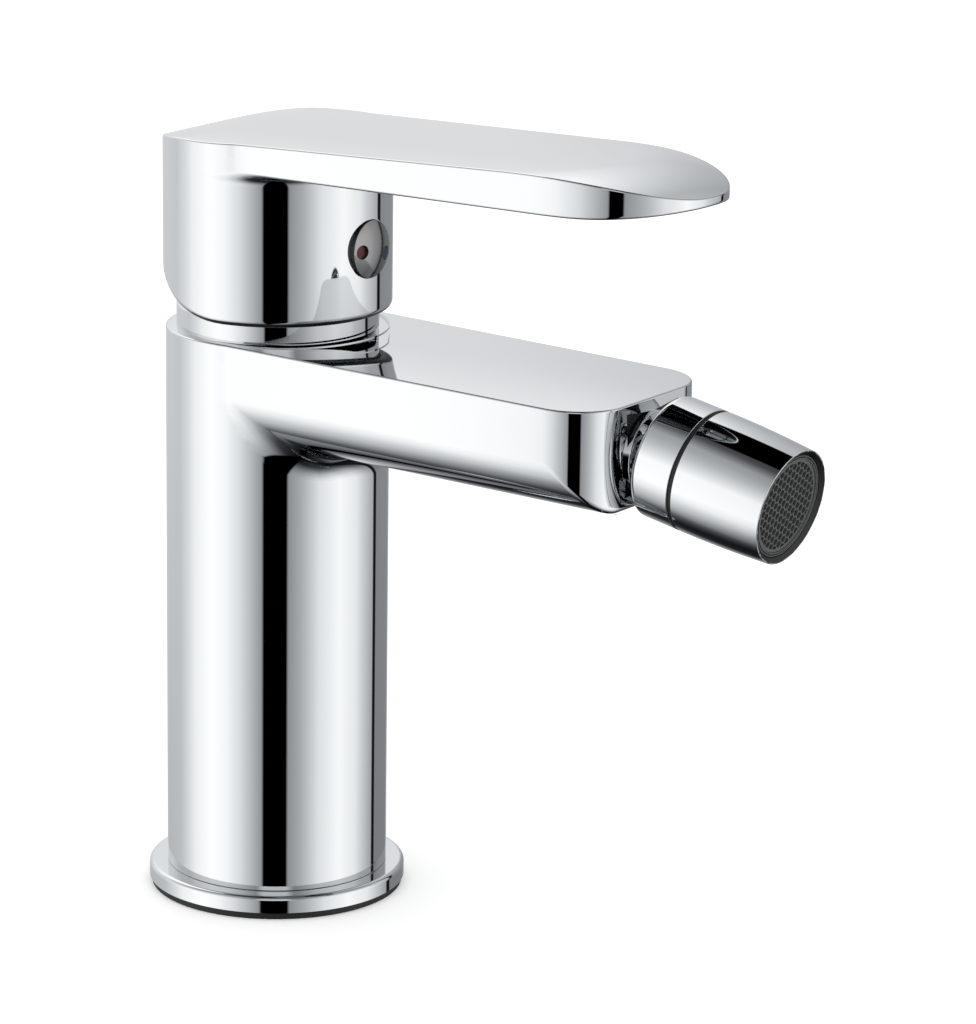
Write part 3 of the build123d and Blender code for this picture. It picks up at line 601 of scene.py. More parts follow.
# %% Slices of the body casting
BODY_PIVOT = (31.0, 90.0)
COLUMN_LEVELS = (FOOT_Z + FOOT_EDGE, 40.0, 75.0)
BODY_CUTS = 48
STRAIGHT_SLICES, CORNER_SLICES, END_SLICES = 14, 12, 8
END_GAP = 0.0004
corner_start = SPOUT_REACH - SPOUT_CORNER
round_start = SPOUT_REACH - SPOUT_END_EDGE
lean_end = math.asin((round_start - corner_start) / SPOUT_CORNER)
body_ends = list(np.linspace(BODY_PIVOT[0], corner_start, STRAIGHT_SLICES + 1)[1:])
corner_leans = np.linspace(0, lean_end, CORNER_SLICES + 1)[1:]
body_ends += [corner_start + SPOUT_CORNER * math.sin(t) for t in corner_leans]
end_leans = np.linspace(0, math.pi / 2, END_SLICES + 1)[1:]
body_ends += [round_start + (SPOUT_END_EDGE - END_GAP) * math.sin(t) for t in end_leans]
specs, first_rim = slice_plan(body_walls, BODY_PIVOT, COLUMN_R, COLUMN_LEVELS, body_rim, body_ends)
rows, facing = wall_rows(body_walls, specs, BODY_CUTS)

print("body rows", rows.shape)

# %% [markdown]
# A polished side is never quite flat: the wheel rounds it a little towards the spout's end. The faces stay
# where they are and only their normals lean, which is enough for a mirror. The last slice is then set exactly on
# the end face.

# %% Polish of the spout's sides
POLISH_START = 44.0
POLISH_LEAN = 9.0
POLISH_FADE = 25.0
LEVEL_POWER = 8
bulge = np.clip((rows[..., 0] - POLISH_START) / (corner_start - POLISH_START), 0, 1) ** 2 * POLISH_LEAN
bulge *= np.hypot(facing[..., 0], facing[..., 1]) ** LEVEL_POWER
facing = swung(facing, lambda angle: angle + bulge * np.clip(1 - angle / POLISH_FADE, 0, 1))
rows[-1, :, 0] = SPOUT_REACH
facing[-1] = AHEAD
print("normals lean by up to", round(float(bulge.max()), 1), "degrees")

# %% [markdown]
# The top is flat and falls a little along the spout. It is a fan from the round well, in which the collar
# stands, out to the rolled edge. A hand-polished flat is faintly domed, so its normals lean outwards by up to
# four degrees, and the tent's reflection brightens softly across it.

# %% Top of the body casting
TOP_CROWN = 0.075
TOP_STEPS = 12
END_CUTS = 8
JOIN_WIDTH = 0.3
WELL_NEAR = 0.08
LEVEL_NEAR = 0.01
top_normal = unit(np.array([slope, 0, 1.0]))
near, far = rows[first_rim:, 0], rows[first_rim:, -1]
end_line = near[-1] + (far[-1] - near[-1]) * np.linspace(0, 1, END_CUTS + 1)[:, None]
rim = np.concatenate([near, end_line[1:-1], far[::-1]])
end_normals = np.tile(np.array(AHEAD, float), (END_CUTS - 1, 1))
rim_normals = np.concatenate([facing[first_rim:, 0], end_normals, facing[first_rim:, -1][::-1]])
rim_normals[..., 2] = 0
rim_normals = unit(rim_normals)
tops = np.where(rim[:, :1] > 0, top_normal, np.array([0, 0, 1.0]))
strip, strip_normals = edge_strip(rim, rim_normals, tops, TOP_EDGE)
crest = strip[-1]


def crowned(points, normal):
    """A polished flat is never quite flat: normal + TOP_CROWN * share of the half width, leaning outwards."""
    lean = points[..., 1:2] / SPOUT_ROOT_HALF * TOP_CROWN
    return unit(np.array(normal, float) + lean * np.array([0, 1.0, 0]))


well = np.concatenate([unit(crest[:, :2]) * (CARTRIDGE_WELL_R + JOIN_WIDTH), crest[:, 2:]], 1)
top_fan = well + (crest - well) * np.linspace(0, 1, TOP_STEPS + 1)[:, None, None]
well_ring = edge_ring("body_casting", lambda p: (np.abs(p[:, 2] - BODY_TOP) < LEVEL_NEAR)
                      & (np.abs(np.hypot(p[:, 0], p[:, 1]) - CARTRIDGE_WELL_R) < WELL_NEAR))
print("top fan", top_fan.shape)

# %% [markdown]
# The spout's end face has a border and a sunk field round the nipple, and the column's foot has a broken edge
# and a flat sole that reaches the hole for the hoses.

# %% End face and foot
END_BORDER = 2.2
END_SINK = 0.5
loop = np.concatenate([rows[-1], end_line[::-1][1:]])
to_middle = unit(np.array([SPOUT_REACH, 0, BODY_TOP - SPOUT_DEPTH / 2]) - loop)
inset = loop + to_middle * END_BORDER
sunk = inset - np.array([END_SINK, 0, 0])
hole_middle = np.array([SPOUT_REACH - END_SINK, 0, BALL[2]])
hole = hole_middle + NIPPLE_HOLE_R * unit(sunk - hole_middle)
step_grid = np.stack([inset, sunk])
foot, foot_normals = edge_strip(rows[0], facing[0], np.tile([0, 0, -1.0], (len(rows[0]), 1)), FOOT_EDGE)
foot_ring = edge_ring("body_casting", lambda p: (np.abs(p[:, 2] - FOOT_Z) < LEVEL_NEAR)
                      & (np.hypot(p[:, 0], p[:, 1]) < COLUMN_R - 1))
print("radius of the foot's opening", round(float(np.hypot(*foot_ring[:, :2].T).max()), 2), "mm")

# %% [markdown]
# The frame's own body keeps its inner passages, its threads and the well. Its outer faces are left out, because
# the new skin stands for them, and then all patches are welded into one piece. A triangle of the frame counts
# as outer where it lies near the new skin and looks the same way.

# %% Body shell
SKIN_NEAR = 0.25
TOP_NEAR = 0.6
FRONT_NEAR = 0.2
SOLE_NEAR = 0.01
EDGE_LOW = 118.0
ALIKE, NEARLY_ALIKE, ROUGHLY_ALIKE = 0.9, 0.7, 0.2
FACES_UP = 0.5


def on_body_skin(places, normals):
    """True where a triangle of the frame node lies on the body's outer skin."""
    value, outward = body_walls(places)
    wall = (np.abs(value) < SKIN_NEAR) & ((outward * normals).sum(-1) > NEARLY_ALIKE) & (places[:, 2] > FOOT_Z)
    wall &= places[:, 2] < BODY_TOP
    top_here = BODY_TOP - slope * np.maximum(places[:, 0], 0)
    top = (places[:, 2] - top_here > -TOP_NEAR) & (normals[:, 2] > FACES_UP)
    front = (places[:, 0] > SPOUT_REACH - FRONT_NEAR) & (normals[:, 0] > ALIKE)
    edge = (value > -TOP_NEAR) & (places[:, 2] > EDGE_LOW) & ((outward * normals).sum(-1) > ROUGHLY_ALIKE)
    sole = (np.abs(places[:, 2] - FOOT_Z) < SOLE_NEAR) & (normals[:, 2] < -ALIKE)
    return wall | top | front | edge | sole


body = weld("body_shell", [
    patch(rows, facing),
    patch(strip, strip_normals),
    patch(top_fan, crowned(top_fan, UPWARD)),
    between(loop, inset, AHEAD, 1),
    patch(step_grid, np.stack([to_middle, to_middle])),
    between(sunk, hole, AHEAD, 5),
    patch(foot, foot_normals),
    zipped(foot[-1], foot_ring, ORIGIN, AHEAD, SIDEWAYS, DOWNWARD),
    zipped(well, well_ring, ORIGIN, AHEAD, SIDEWAYS, UPWARD),
    taken_over("body_casting", on_body_skin),
])
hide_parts("body_casting")
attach(body, "body")
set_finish(body, "chrome_plate")

# %% [markdown]
# The handle is a hollow zinc casting: a cap that covers the cartridge, with a flat lever growing out of its
# top. The underside of the heel is relieved by a large radius so that the handle can tip back, and the front
# of the cap has a round recess for the index plug.

# %% Handle casting's sizes
CAP_R = 23.5
CAP_BOTTOM = 124.2
CAP_BORE = 21.1
CAP_EDGE = 1.6
HEEL_R = 31.0
HEEL_START = 3.0
LEVER_TOP = 161.3
LEVER_RISE = 0.033
REAR_DROP = 2.5
REAR_START = -6.0
CROWN_X = 62.0
CROWN_START = 21.0
CROWN_R = 44.0
CROWN_STRETCH = 0.95
LEVER_REACH = 105.5
TIP_LENGTH = 28.5
LEVER_ROOT_HALF = 22.6
TIP_HALF = 20.3
TIP_POWER = 2.2
TIP_ANGLES = (0, 24.5, 28.6, 90)
TIP_ANGLES_POLISHED = (0, 29, 41.4, 90)
UNDER_Z = 155.4
UNDER_RISE = 0.7
TIP_UNDER_RISE = 2.1
TIP_UNDER_LENGTH = 21.5
LEVER_FILLET = 2.5
SIDE_FILLET = 14.0
LEVER_EDGE = 0.45
LEVER_LOW_EDGE = 0.6
INDEX_Z = 138.8
INDEX_HOLE_R = 6.05
tip_start = LEVER_REACH - TIP_LENGTH
lever_taper = (LEVER_ROOT_HALF - TIP_HALF) / tip_start
print("lever narrows by", round(math.degrees(math.atan(lever_taper)), 2), "degrees a side up to its tip")

# %% [markdown]
# The lever is described by three simple surfaces: a top skin that rolls off at the tip, a plan with a rounded
# end, and an underside that turns up. A flatter oval than a circle gives the tip the broad, full look.

# %% Lever's top, plan and underside
def lever_top(x, y):
    """Height and normal of the top skin: z = top + rise * x - drop * (share of the heel) squared - (way past the
    crown's start) squared / (2 * crown radius)."""
    rear = np.maximum(REAR_START - x, 0) / (CAP_R + REAR_START)
    run = np.maximum(x - CROWN_X, 0) * CROWN_STRETCH
    reach = np.hypot(run, y)
    fall = np.maximum(reach - CROWN_START, 0)
    z = LEVER_TOP + LEVER_RISE * x - REAR_DROP * rear ** 2 - fall ** 2 / (2 * CROWN_R)
    pull = fall / CROWN_R / np.maximum(reach, 1e-6)
    slope_x = LEVER_RISE + 2 * REAR_DROP * rear / (CAP_R + REAR_START) - pull * run * CROWN_STRETCH
    slope_y = -pull * y
    return z, unit(np.stack([-slope_x, -slope_y, np.ones_like(z)], -1))


def lever_side(p):
    """Distance outside the lever's plan: half width = end half width - taper, times the tip's rounded shape
    (1 - t ** power) ** (1 / power), where t runs from 0 at the tip's start to 1 at its end."""
    x, y = p[..., 0] - tip_start, np.abs(p[..., 1])
    half = TIP_HALF - lever_taper * x
    t = np.maximum(x, 0) / TIP_LENGTH
    value = (y / half) ** TIP_POWER + t ** TIP_POWER - 1
    push_y = TIP_POWER * np.maximum(y, 1e-6) ** (TIP_POWER - 1) / half ** TIP_POWER
    push_x = TIP_POWER * t ** (TIP_POWER - 1) / TIP_LENGTH + lever_taper * y / half * push_y
    length = np.maximum(np.hypot(push_x, push_y), 1e-3)
    normal = np.stack([push_x, push_y * np.sign(p[..., 1]), np.zeros_like(x)], -1) / length[..., None]
    return value / length, unit(normal)


def lever_under(x):
    """Height and slope of the underside: z = under + rise * share of the reach + tip rise * (share of the tip)
    squared."""
    tip = np.maximum(x - (LEVER_REACH - TIP_UNDER_LENGTH), 0) / TIP_UNDER_LENGTH
    z = UNDER_Z + UNDER_RISE * x / LEVER_REACH + TIP_UNDER_RISE * tip ** 2
    return z, UNDER_RISE / LEVER_REACH + 2 * TIP_UNDER_RISE * tip / TIP_UNDER_LENGTH


root_x = np.float64(ROOT_LENGTH)
print("lever is", round(float(lever_top(root_x, 0.0)[0] - lever_under(root_x)[0]), 2), "mm thick at its root")

# %% [markdown]
# Cap and lever grow together with a fillet. It is small below the lever, as the photograph shows, and wide at
# the lever's flanks, where the wheel has polished the join away.

# %% Handle casting's walls
def handle_walls(p):
    """Cap and lever without the top skin. The lever's flanks melt into the cap with a wide radius, its
    underside with a small one."""
    z, rise = lever_under(p[..., 0])
    length = np.hypot(1, rise)
    normal = np.stack([rise, np.zeros_like(z), -np.ones_like(z)], -1) / length[..., None]
    slab = common(lever_side(p), ((z - p[..., 2]) / length, normal), LEVER_LOW_EDGE)
    cap = round_column(p, CAP_R)
    flank = np.hypot(slab[1][..., 0], slab[1][..., 1]) ** 2
    joined = merged(cap, slab, LEVER_FILLET + (SIDE_FILLET - LEVER_FILLET) * flank)
    ahead = p[..., 0] > 0
    return np.where(ahead, joined[0], cap[0]), np.where(ahead[..., None], joined[1], cap[1])


def handle_rim(x, y):
    """Height of the centre of the rolled top edge, one radius below the skin."""
    z, normal = lever_top(np.float64(x), np.float64(max(y - LEVER_EDGE, 0.0)))
    return float(z - LEVER_EDGE / normal[2])


print("rim at the heel", round(handle_rim(-CAP_R, 0.0), 2), "mm high")

# %% [markdown]
# The slices crowd towards the tip, where the plan bends most. The polish of the tip again leans only the
# normals: two angles of the smooth curve are moved, and those between follow.

# %% Slices of the handle casting
HANDLE_PIVOT = (27.5, 151.0)
CAP_LEVELS = (146.5,)
HANDLE_CUTS = (24, 8, 24)
STRAIGHT_CUTS, TIP_CUTS = 12, 32
SHARP_EDGE = 1.2
handle_ends = list(np.linspace(HANDLE_PIVOT[0], tip_start, STRAIGHT_CUTS + 1)[1:])
tip_turn = np.linspace(math.pi / 2, 0, TIP_CUTS + 1)[1:-1]
handle_ends += [tip_start + TIP_LENGTH * math.cos(t) ** (2 / TIP_POWER) for t in tip_turn]
handle_ends.append(LEVER_REACH - END_GAP)
specs, first_rim = slice_plan(handle_walls, HANDLE_PIVOT, CAP_R, CAP_LEVELS, handle_rim, handle_ends,
                              middle=lambda x: (lever_under(x)[0] + lever_top(np.float64(x), 0.0)[0]) / 2)
rows, facing = wall_rows(handle_walls, specs, HANDLE_CUTS, sharp=SHARP_EDGE)
tip_row = rows[-1] * np.array([0, 0, 1.0]) + np.array([LEVER_REACH, 0, 0])
tip_row[:, 2] = (tip_row[:, 2] + tip_row[::-1, 2]) / 2
tip_facing = np.tile([1.0, 0, 0], (len(tip_row), 1))
tip_bent = swung(facing, lambda angle: np.interp(angle, TIP_ANGLES, TIP_ANGLES_POLISHED))
facing = np.where(rows[..., :1] > tip_start, tip_bent, facing)
rows = np.concatenate([rows, tip_row[None]])
facing = np.concatenate([facing, tip_facing[None]])
print("handle rows", rows.shape)

# %% [markdown]
# The top skin is a grid from one rolled edge to the other. Its heights come from the formula, and what little
# the edges miss is added, so that nothing gapes.

# %% Top skin of the handle
TOP_CUTS = 32
near, far = rows[first_rim:, 0], rows[first_rim:, -1]
near_facing = facing[first_rim:, 0] * np.array([1, 1, 0])
rim_strips = []
for line, mirror in ((near, 1.0), (far, -1.0)):
    outward = unit(near_facing * np.array([1, mirror, 1]))
    inner = line - LEVER_EDGE * outward
    tops = lever_top(inner[:, 0], inner[:, 1])[1]
    rim_strips.append(edge_strip(line, outward, tops, LEVER_EDGE))
crest_near, crest_far = rim_strips[0][0][-1], rim_strips[1][0][-1]
across_share = np.linspace(0, 1, TOP_CUTS + 1)[:, None, None]
top_grid = crest_near + (crest_far - crest_near) * across_share
edge_error = crest_near[:, 2] - lever_top(top_grid[0, :, 0], top_grid[0, :, 1])[0]
heights, top_normals = lever_top(top_grid[..., 0], top_grid[..., 1])
top_grid[..., 2] = heights + edge_error
top_normals = unit(top_normals + top_grid[..., 1:2] / CAP_R * TOP_CROWN * np.array([0, 1.0, 0]))
print("largest step between edge and skin", float(np.abs(edge_error).max()), "mm")

# %% [markdown]
# The cap's lower edge is rolled. In front it is level. At the heel it follows a large circle, which is there so
# that the cap clears the body when the handle tips back.

# %% Lower edge of the cap
LOWER_STEPS = 9
turn = np.arctan2(rows[0, :, 1], rows[0, :, 0])
turn[0], turn[-1] = math.pi, -math.pi
ball_x = (CAP_R - CAP_EDGE) * np.cos(turn)
heel = np.minimum(ball_x - HEEL_START, 0)
ball_z = CAP_BOTTOM + HEEL_R - np.sqrt((HEEL_R - CAP_EDGE) ** 2 - heel ** 2)
radial = np.stack([np.cos(turn), np.sin(turn), np.zeros_like(turn)], -1)
radial[-1] = radial[0]
under = unit(np.stack([heel, np.zeros_like(turn), ball_z - CAP_BOTTOM - HEEL_R], -1))
wall_foot = np.stack([CAP_R * radial[:, 0], CAP_R * radial[:, 1], ball_z], -1)
lower_strip, lower_normals = edge_strip(wall_foot, radial, under, CAP_EDGE, LOWER_STEPS)
lip_in = (CAP_BORE + JOIN_WIDTH) * radial


def lip_height(x):
    """Height of the cap's lower lip: flat in front, a circle of HEEL_R at the heel."""
    return CAP_BOTTOM + HEEL_R - np.sqrt(HEEL_R ** 2 - np.minimum(x - HEEL_START, 0) ** 2)


lip_in[:, 2] = lip_height(lip_in[:, 0])
print("lip from", round(float(lip_in[:, 2].min()), 2), "to", round(float(lip_in[:, 2].max()), 2), "mm high")

# %% [markdown]
# The cap's front has the recess for the index plug. A window is left out of the wall there and filled with a
# band that runs from the window's frame to the round recess, on the same cylinder.

# %% Cap wall with its index recess
WINDOW_TURN = 20
WINDOW_LOW = 131.5
WINDOW_STEPS = 6
LIP_GAP = 3.0
FRONT_HALF = 15.0
EDGE_NEAR, LIP_NEAR = 0.02, 0.03
bore_ring = edge_ring("lever_handle", lambda p: (np.abs(np.hypot(p[:, 0], p[:, 1]) - CAP_BORE) < EDGE_NEAR)
                      & (np.abs(p[:, 2] - lip_height(p[:, 0])) < LIP_NEAR))
recess_ring = edge_ring("lever_handle", lambda p: (np.abs(np.hypot(p[:, 0], p[:, 1]) - CAP_R) < EDGE_NEAR)
                        & (np.abs(np.hypot(p[:, 1], p[:, 2] - INDEX_Z) - INDEX_HOLE_R) < EDGE_NEAR)
                        & (p[:, 0] > FRONT_HALF))
window = [int(np.argmin(np.abs(turn - math.radians(a)))) for a in (WINDOW_TURN, -WINDOW_TURN)]
window_low = np.maximum(WINDOW_LOW, ball_z + LIP_GAP)
steps = [wall_foot, np.stack([wall_foot[:, 0], wall_foot[:, 1], window_low], -1), rows[0]]
bands = [(0, 1, 0, len(turn)), (1, 2, 0, window[0] + 1), (1, 2, window[1], len(turn))]
cap_patches = []
for lower, upper, start, stop in bands:
    grid = np.stack([steps[lower][start:stop], steps[upper][start:stop]])
    cap_patches.append(patch(grid, np.stack([radial[start:stop]] * 2)))
span = slice(window[0], window[1] + 1)
frame_line = np.concatenate([steps[1][span], steps[2][span][::-1], steps[1][span][:1]])
flat_line = frame_line[:, 1:] - np.array([0, INDEX_Z])
circle_line = unit(flat_line) * (INDEX_HOLE_R + JOIN_WIDTH / 2)
t = np.linspace(0, 1, WINDOW_STEPS + 1)[:, None, None]
flat_grid = flat_line + (circle_line - flat_line) * t
grid_x = np.sqrt(CAP_R ** 2 - flat_grid[..., 0] ** 2)
front_grid = np.stack([grid_x, flat_grid[..., 0], flat_grid[..., 1] + INDEX_Z], -1)
front_normals = np.stack([grid_x, flat_grid[..., 0], np.zeros_like(grid_x)], -1) / CAP_R
front_grid[0] = frame_line
cap_patches.append(patch(front_grid, front_normals))
print("points round the recess", len(recess_ring), "and in the window", front_grid.shape)

# %% [markdown]
# As with the body, the frame's handle keeps its hollow, its hub and the recess, and the new skin stands for
# the rest.

# %% Handle shell
CAP_HIGH = 152.0
LEVER_LOW = 150.0
FILLET_DEPTH = 1.7
SKIN_DEPTH = 0.8
BORE_MARGIN = 0.05
FACES_A_LITTLE_UP = 0.3


def on_handle_skin(places, normals):
    """True where a triangle of the frame node lies on the handle's outer skin."""
    value, outward = handle_walls(places)
    wall = (value > -FILLET_DEPTH) & ((outward * normals).sum(-1) > ROUGHLY_ALIKE) & (places[:, 2] > LEVER_LOW)
    wall |= (np.hypot(places[:, 0], places[:, 1]) > CAP_BORE + BORE_MARGIN) & (places[:, 2] < CAP_HIGH)
    from_plug = np.hypot(places[:, 1], places[:, 2] - INDEX_Z)
    recess = (places[:, 0] > FRONT_HALF) & (from_plug < INDEX_HOLE_R + EDGE_NEAR)
    wall &= ~recess
    below_top = lever_top(places[:, 0], places[:, 1])[0] - places[:, 2]
    top = (below_top < SKIN_DEPTH) & (normals[:, 2] > FACES_A_LITTLE_UP)
    return wall | top


handle = weld("handle_shell", [
    patch(rows, facing),
    patch(*rim_strips[0]),
    patch(*rim_strips[1]),
    patch(top_grid, top_normals),
    patch(lower_strip, lower_normals),
    patch(np.stack([lower_strip[-1], lip_in]), np.stack([under, under])),
    zipped(lip_in, bore_ring, ORIGIN, AHEAD, SIDEWAYS, DOWNWARD),
    zipped(front_grid[-1], recess_ring, np.array([0, 0, INDEX_Z]), SIDEWAYS, UPWARD, AHEAD),
    *cap_patches,
    taken_over("lever_handle", on_handle_skin),
])
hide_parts("lever_handle")
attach(handle, "lever")
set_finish(handle, "chrome_plate")
print("handle reaches", round(float(rows[..., 0].max()), 1), "mm ahead of the column's axis")

# %% [markdown]
# The turned fittings: the rubber gasket and the base ring under the column, and the collar under the handle.
# On the real tap each is cut on a lathe, so each is an outline carried round an axis. An outline is written as
# (radius, height, corner radius) in millimetres, going anticlockwise.

# %% Base, collar and gasket
def fitting(node, body_name, slot_name, outline, **place):
    """A turned piece that stands for a frame node."""
    piece = turned(node + "_turned", outline, **place)
    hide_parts(node)
    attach(piece, body_name)
    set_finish(piece, slot_name)
    return piece


BASE_BORE = 18.6
GASKET_R, GASKET_TOP = 26.3, 1.4
BASE_R = 26.8
COLLAR_R, COLLAR_TOP = 20.8, 124.9
fitting("base_gasket", "body", "black_rubber",
        [(BASE_BORE, 0), (GASKET_R, 0, 0.25), (GASKET_R, GASKET_TOP, 0.25), (BASE_BORE, GASKET_TOP)])
fitting("base_ring", "body", "chrome_plate",
        [(BASE_BORE, GASKET_TOP), (BASE_R, GASKET_TOP, 0.15), (BASE_R, FOOT_Z, 1.0), (19.6, FOOT_Z),
         (BASE_BORE, FOOT_Z)])
fitting("collar", "body", "chrome_plate",
        [(18.7, 112.4), (19.9, 112.4, 0.3), (19.9, BODY_TOP), (COLLAR_R, BODY_TOP), (COLLAR_R, COLLAR_TOP, 0.4),
         (16.0, COLLAR_TOP, 0.2), (16.0, 123.9), (18.7, 123.9)], steps=FINE_STEPS)
print("collar stands", round(COLLAR_TOP - BODY_TOP, 1), "mm over the body")

# %% [markdown]
# The swivel head hangs on a ball. Its nut, its sleeve and the ring between them share one axis, which points
# down and forward. The ball nipple is level and screws into the spout's end.

# %% Swivel head
HEAD_TILT = math.radians(11.3)
HEAD_AXIS = (math.cos(HEAD_TILT), 0.0, -math.sin(HEAD_TILT))
at_ball = {"centre": tuple(BALL), "axis": (1.0, 0, 0)}
on_head = {"centre": tuple(BALL), "axis": HEAD_AXIS}
print("head tilts", round(math.degrees(HEAD_TILT), 1), "degrees below level")


def arc_corners(radius, start, end, steps):
    """Corners along an arc round the ball's centre: radius * sin a outwards, radius * cos a ahead."""
    turn = np.radians(np.linspace(start, end, steps + 1))
    return [(float(radius * math.sin(t)), float(radius * math.cos(t))) for t in turn]


# %% [markdown]
# The nipple ends in a ball with a groove for its O-ring. The nut grips the ball from behind, and the sleeve
# screws into the nut. Between them a thin black ring shows. The sleeve narrows towards its mouth in one long,
# faint curve, which the outline writes as a corner of 235 mm radius.

# %% Ball nipple, swivel nut and sleeve
BALL_R = 6.2
SOCKET_R = 6.28
GROOVE_R, GROOVE_PLACE, GROOVE_TURN = 0.8, 5.45, 60
HEAD_R = 12.5
SEAM_R = 12.2
HEAD_BORE = 10.6
NUT_BACK, NUT_FRONT = -4.0, 5.1
SLEEVE_BACK, SLEEVE_FRONT = 6.1, 25.7
groove_turn = np.radians(np.linspace(-GROOVE_TURN, GROOVE_TURN, ARC_POINTS))
groove = [(GROOVE_PLACE - GROOVE_R * math.cos(t), GROOVE_R * math.sin(t)) for t in groove_turn]
fitting("ball_nipple", "body", "chrome_plate",
        [(2.6, -16.0), (7.0, -16.0, 0.4), (7.0, -7.0), (9.3, -7.0), (9.3, -6.0, 0.3), (3.6, -6.0)]
        + arc_corners(BALL_R, 144.5, 97.5, 24) + groove + arc_corners(BALL_R, 82.5, 24.8, 24), **at_ball)
fitting("swivel_nut", "head", "chrome_plate",
        [(HEAD_R, NUT_BACK, 1.5), (HEAD_R, NUT_FRONT, 0.12), (HEAD_BORE, NUT_FRONT), (HEAD_BORE, 1.6),
         (SOCKET_R, 1.6)] + arc_corners(SOCKET_R, 90, 115.1, 12) + [(11.0, NUT_BACK, 0.3)], **on_head)
fitting("seam_ring", "head", "black_rubber",
        [(HEAD_BORE, NUT_FRONT), (SEAM_R, NUT_FRONT), (SEAM_R, SLEEVE_BACK), (HEAD_BORE, SLEEVE_BACK)], **on_head)
sleeve = fitting("aerator_sleeve", "head", "chrome_plate",
                 [(HEAD_R, SLEEVE_BACK, 0.12), (HEAD_R, 15.9, 235.0), (11.7, SLEEVE_FRONT, 0.12),
                  (11.4, SLEEVE_FRONT, 0.05), (HEAD_BORE, 25.0), (HEAD_BORE, 12.85), (5.5, 12.85), (5.5, 9.35),
                  (8.65, 9.35), (8.65, 1.65), (10.55, 1.65), (10.55, SLEEVE_BACK)], steps=FINE_STEPS, **on_head)
print("sleeve is", round(SLEEVE_FRONT - SLEEVE_BACK, 1), "mm long")

# %% [markdown]
# The aerator fills the sleeve's mouth: a plastic barrel with a doubled front rim, and a honeycomb that makes
# the stream straight.

# %% Aerator barrel
BARREL_R, BARREL_BORE, BARREL_LEDGE = 10.55, 9.65, 8.95
BARREL_BACK, BARREL_FRONT = 14.35, 25.0
fitting("aerator_housing", "head", "aerator_plastic",
        [(BARREL_R, BARREL_BACK), (BARREL_R, 24.6), (10.35, BARREL_FRONT, 0.08), (10.15, BARREL_FRONT, 0.08),
         (10.1, 24.4), (9.95, 24.4), (9.9, BARREL_FRONT, 0.08), (BARREL_BORE, BARREL_FRONT, 0.08),
         (BARREL_BORE, 21.7), (BARREL_LEDGE, 21.7), (BARREL_LEDGE, 20.9), (BARREL_BORE, 20.9),
         (BARREL_BORE, 15.15), (BARREL_LEDGE, 15.15), (BARREL_LEDGE, BARREL_BACK)], **on_head)
print("barrel ends", round(SLEEVE_FRONT - BARREL_FRONT, 1), "mm inside the sleeve's mouth")

# %% [markdown]
# The honeycomb makes the stream straight. It is moulded in one piece with thin webs, and the cells at its
# border are cut by the round rim, as on the photographed tap. Each hexagon is pulled in to the round where it
# reaches past it, and shrunk by the web for its hole. A border cell that is left too narrow stays closed.

# %% Cells of the honeycomb
CELL_PITCH = 1.62
CELL_WEB = 0.26
COMB_R = 9.6
COMB_BORDER = 0.55
LEAST_CELL = 0.45
lattice = np.arange(-9, 10)
column, row = np.meshgrid(lattice, lattice)
centres = np.stack([(column + row / 2) * CELL_PITCH, row * CELL_PITCH * math.sqrt(3) / 2], -1).reshape(-1, 2)
cell_corner = CELL_PITCH / math.sqrt(3)
reach = COMB_R - COMB_BORDER
centres = centres[np.hypot(*centres.T) < reach + cell_corner]
corner_turn = np.radians(30 + 60 * np.arange(6))
hexagons = centres[:, None] + cell_corner * np.stack([np.cos(corner_turn), np.sin(corner_turn)], -1)
far_out = np.linalg.norm(hexagons, axis=-1, keepdims=True)
hexagons = hexagons * np.minimum(1, reach / far_out)
middles = hexagons.mean(1, keepdims=True)
wide = np.ptp(hexagons, axis=1).min(-1) > CELL_PITCH * LEAST_CELL
holes = middles + (hexagons - middles) * np.where(wide, 1 - CELL_WEB / CELL_PITCH, 0)[:, None, None]
print("open cells", int(wide.sum()), "of", len(wide))

# %% [markdown]
# The flat pattern becomes a plate: webs in front and behind, a wall round every hole, and a round rim that
# starts at the same points as the border cells.

# %% Honeycomb insert
COMB_BACK, COMB_FRONT = 21.7, 24.7
RIM_DIGITS = 9


def on_head_plane(flat, ahead):
    """Points of the head's cross plane, so far ahead of the ball: BALL + ahead * axis + x * u + y * v."""
    axis = np.array(HEAD_AXIS)
    u = unit(np.cross([0, 1.0, 0], axis))
    return BALL + ahead * axis + flat[..., :1] * u + flat[..., 1:] * np.cross(axis, u)


comb_axis = np.array(HEAD_AXIS)
comb_patches = []
for ahead, side in ((COMB_FRONT, 1), (COMB_BACK, -1)):
    quads = np.stack([hexagons, np.roll(hexagons, -1, 1), np.roll(holes, -1, 1), holes], 2).reshape(-1, 4, 2)
    comb_patches.append(facing_quads(on_head_plane(quads, ahead), np.tile(side * comb_axis, (len(quads), 4, 1))))
front, behind = on_head_plane(holes[wide], COMB_FRONT), on_head_plane(holes[wide], COMB_BACK)
walls_p = np.stack([front, np.roll(front, -1, 1), np.roll(behind, -1, 1), behind], 2).reshape(-1, 4, 3)
inward = (on_head_plane(middles[wide], COMB_FRONT) - (front + np.roll(front, -1, 1)) / 2).reshape(-1, 1, 3)
comb_patches.append(facing_quads(walls_p, np.repeat(unit(inward), 4, 1)))
rim_turn = np.unique(np.round(np.arctan2(hexagons[..., 1], hexagons[..., 0])[far_out[..., 0] > reach], RIM_DIGITS))
rim_turn = np.append(rim_turn, rim_turn[0])
rim_flat = np.stack([np.cos(rim_turn), np.sin(rim_turn)], -1)
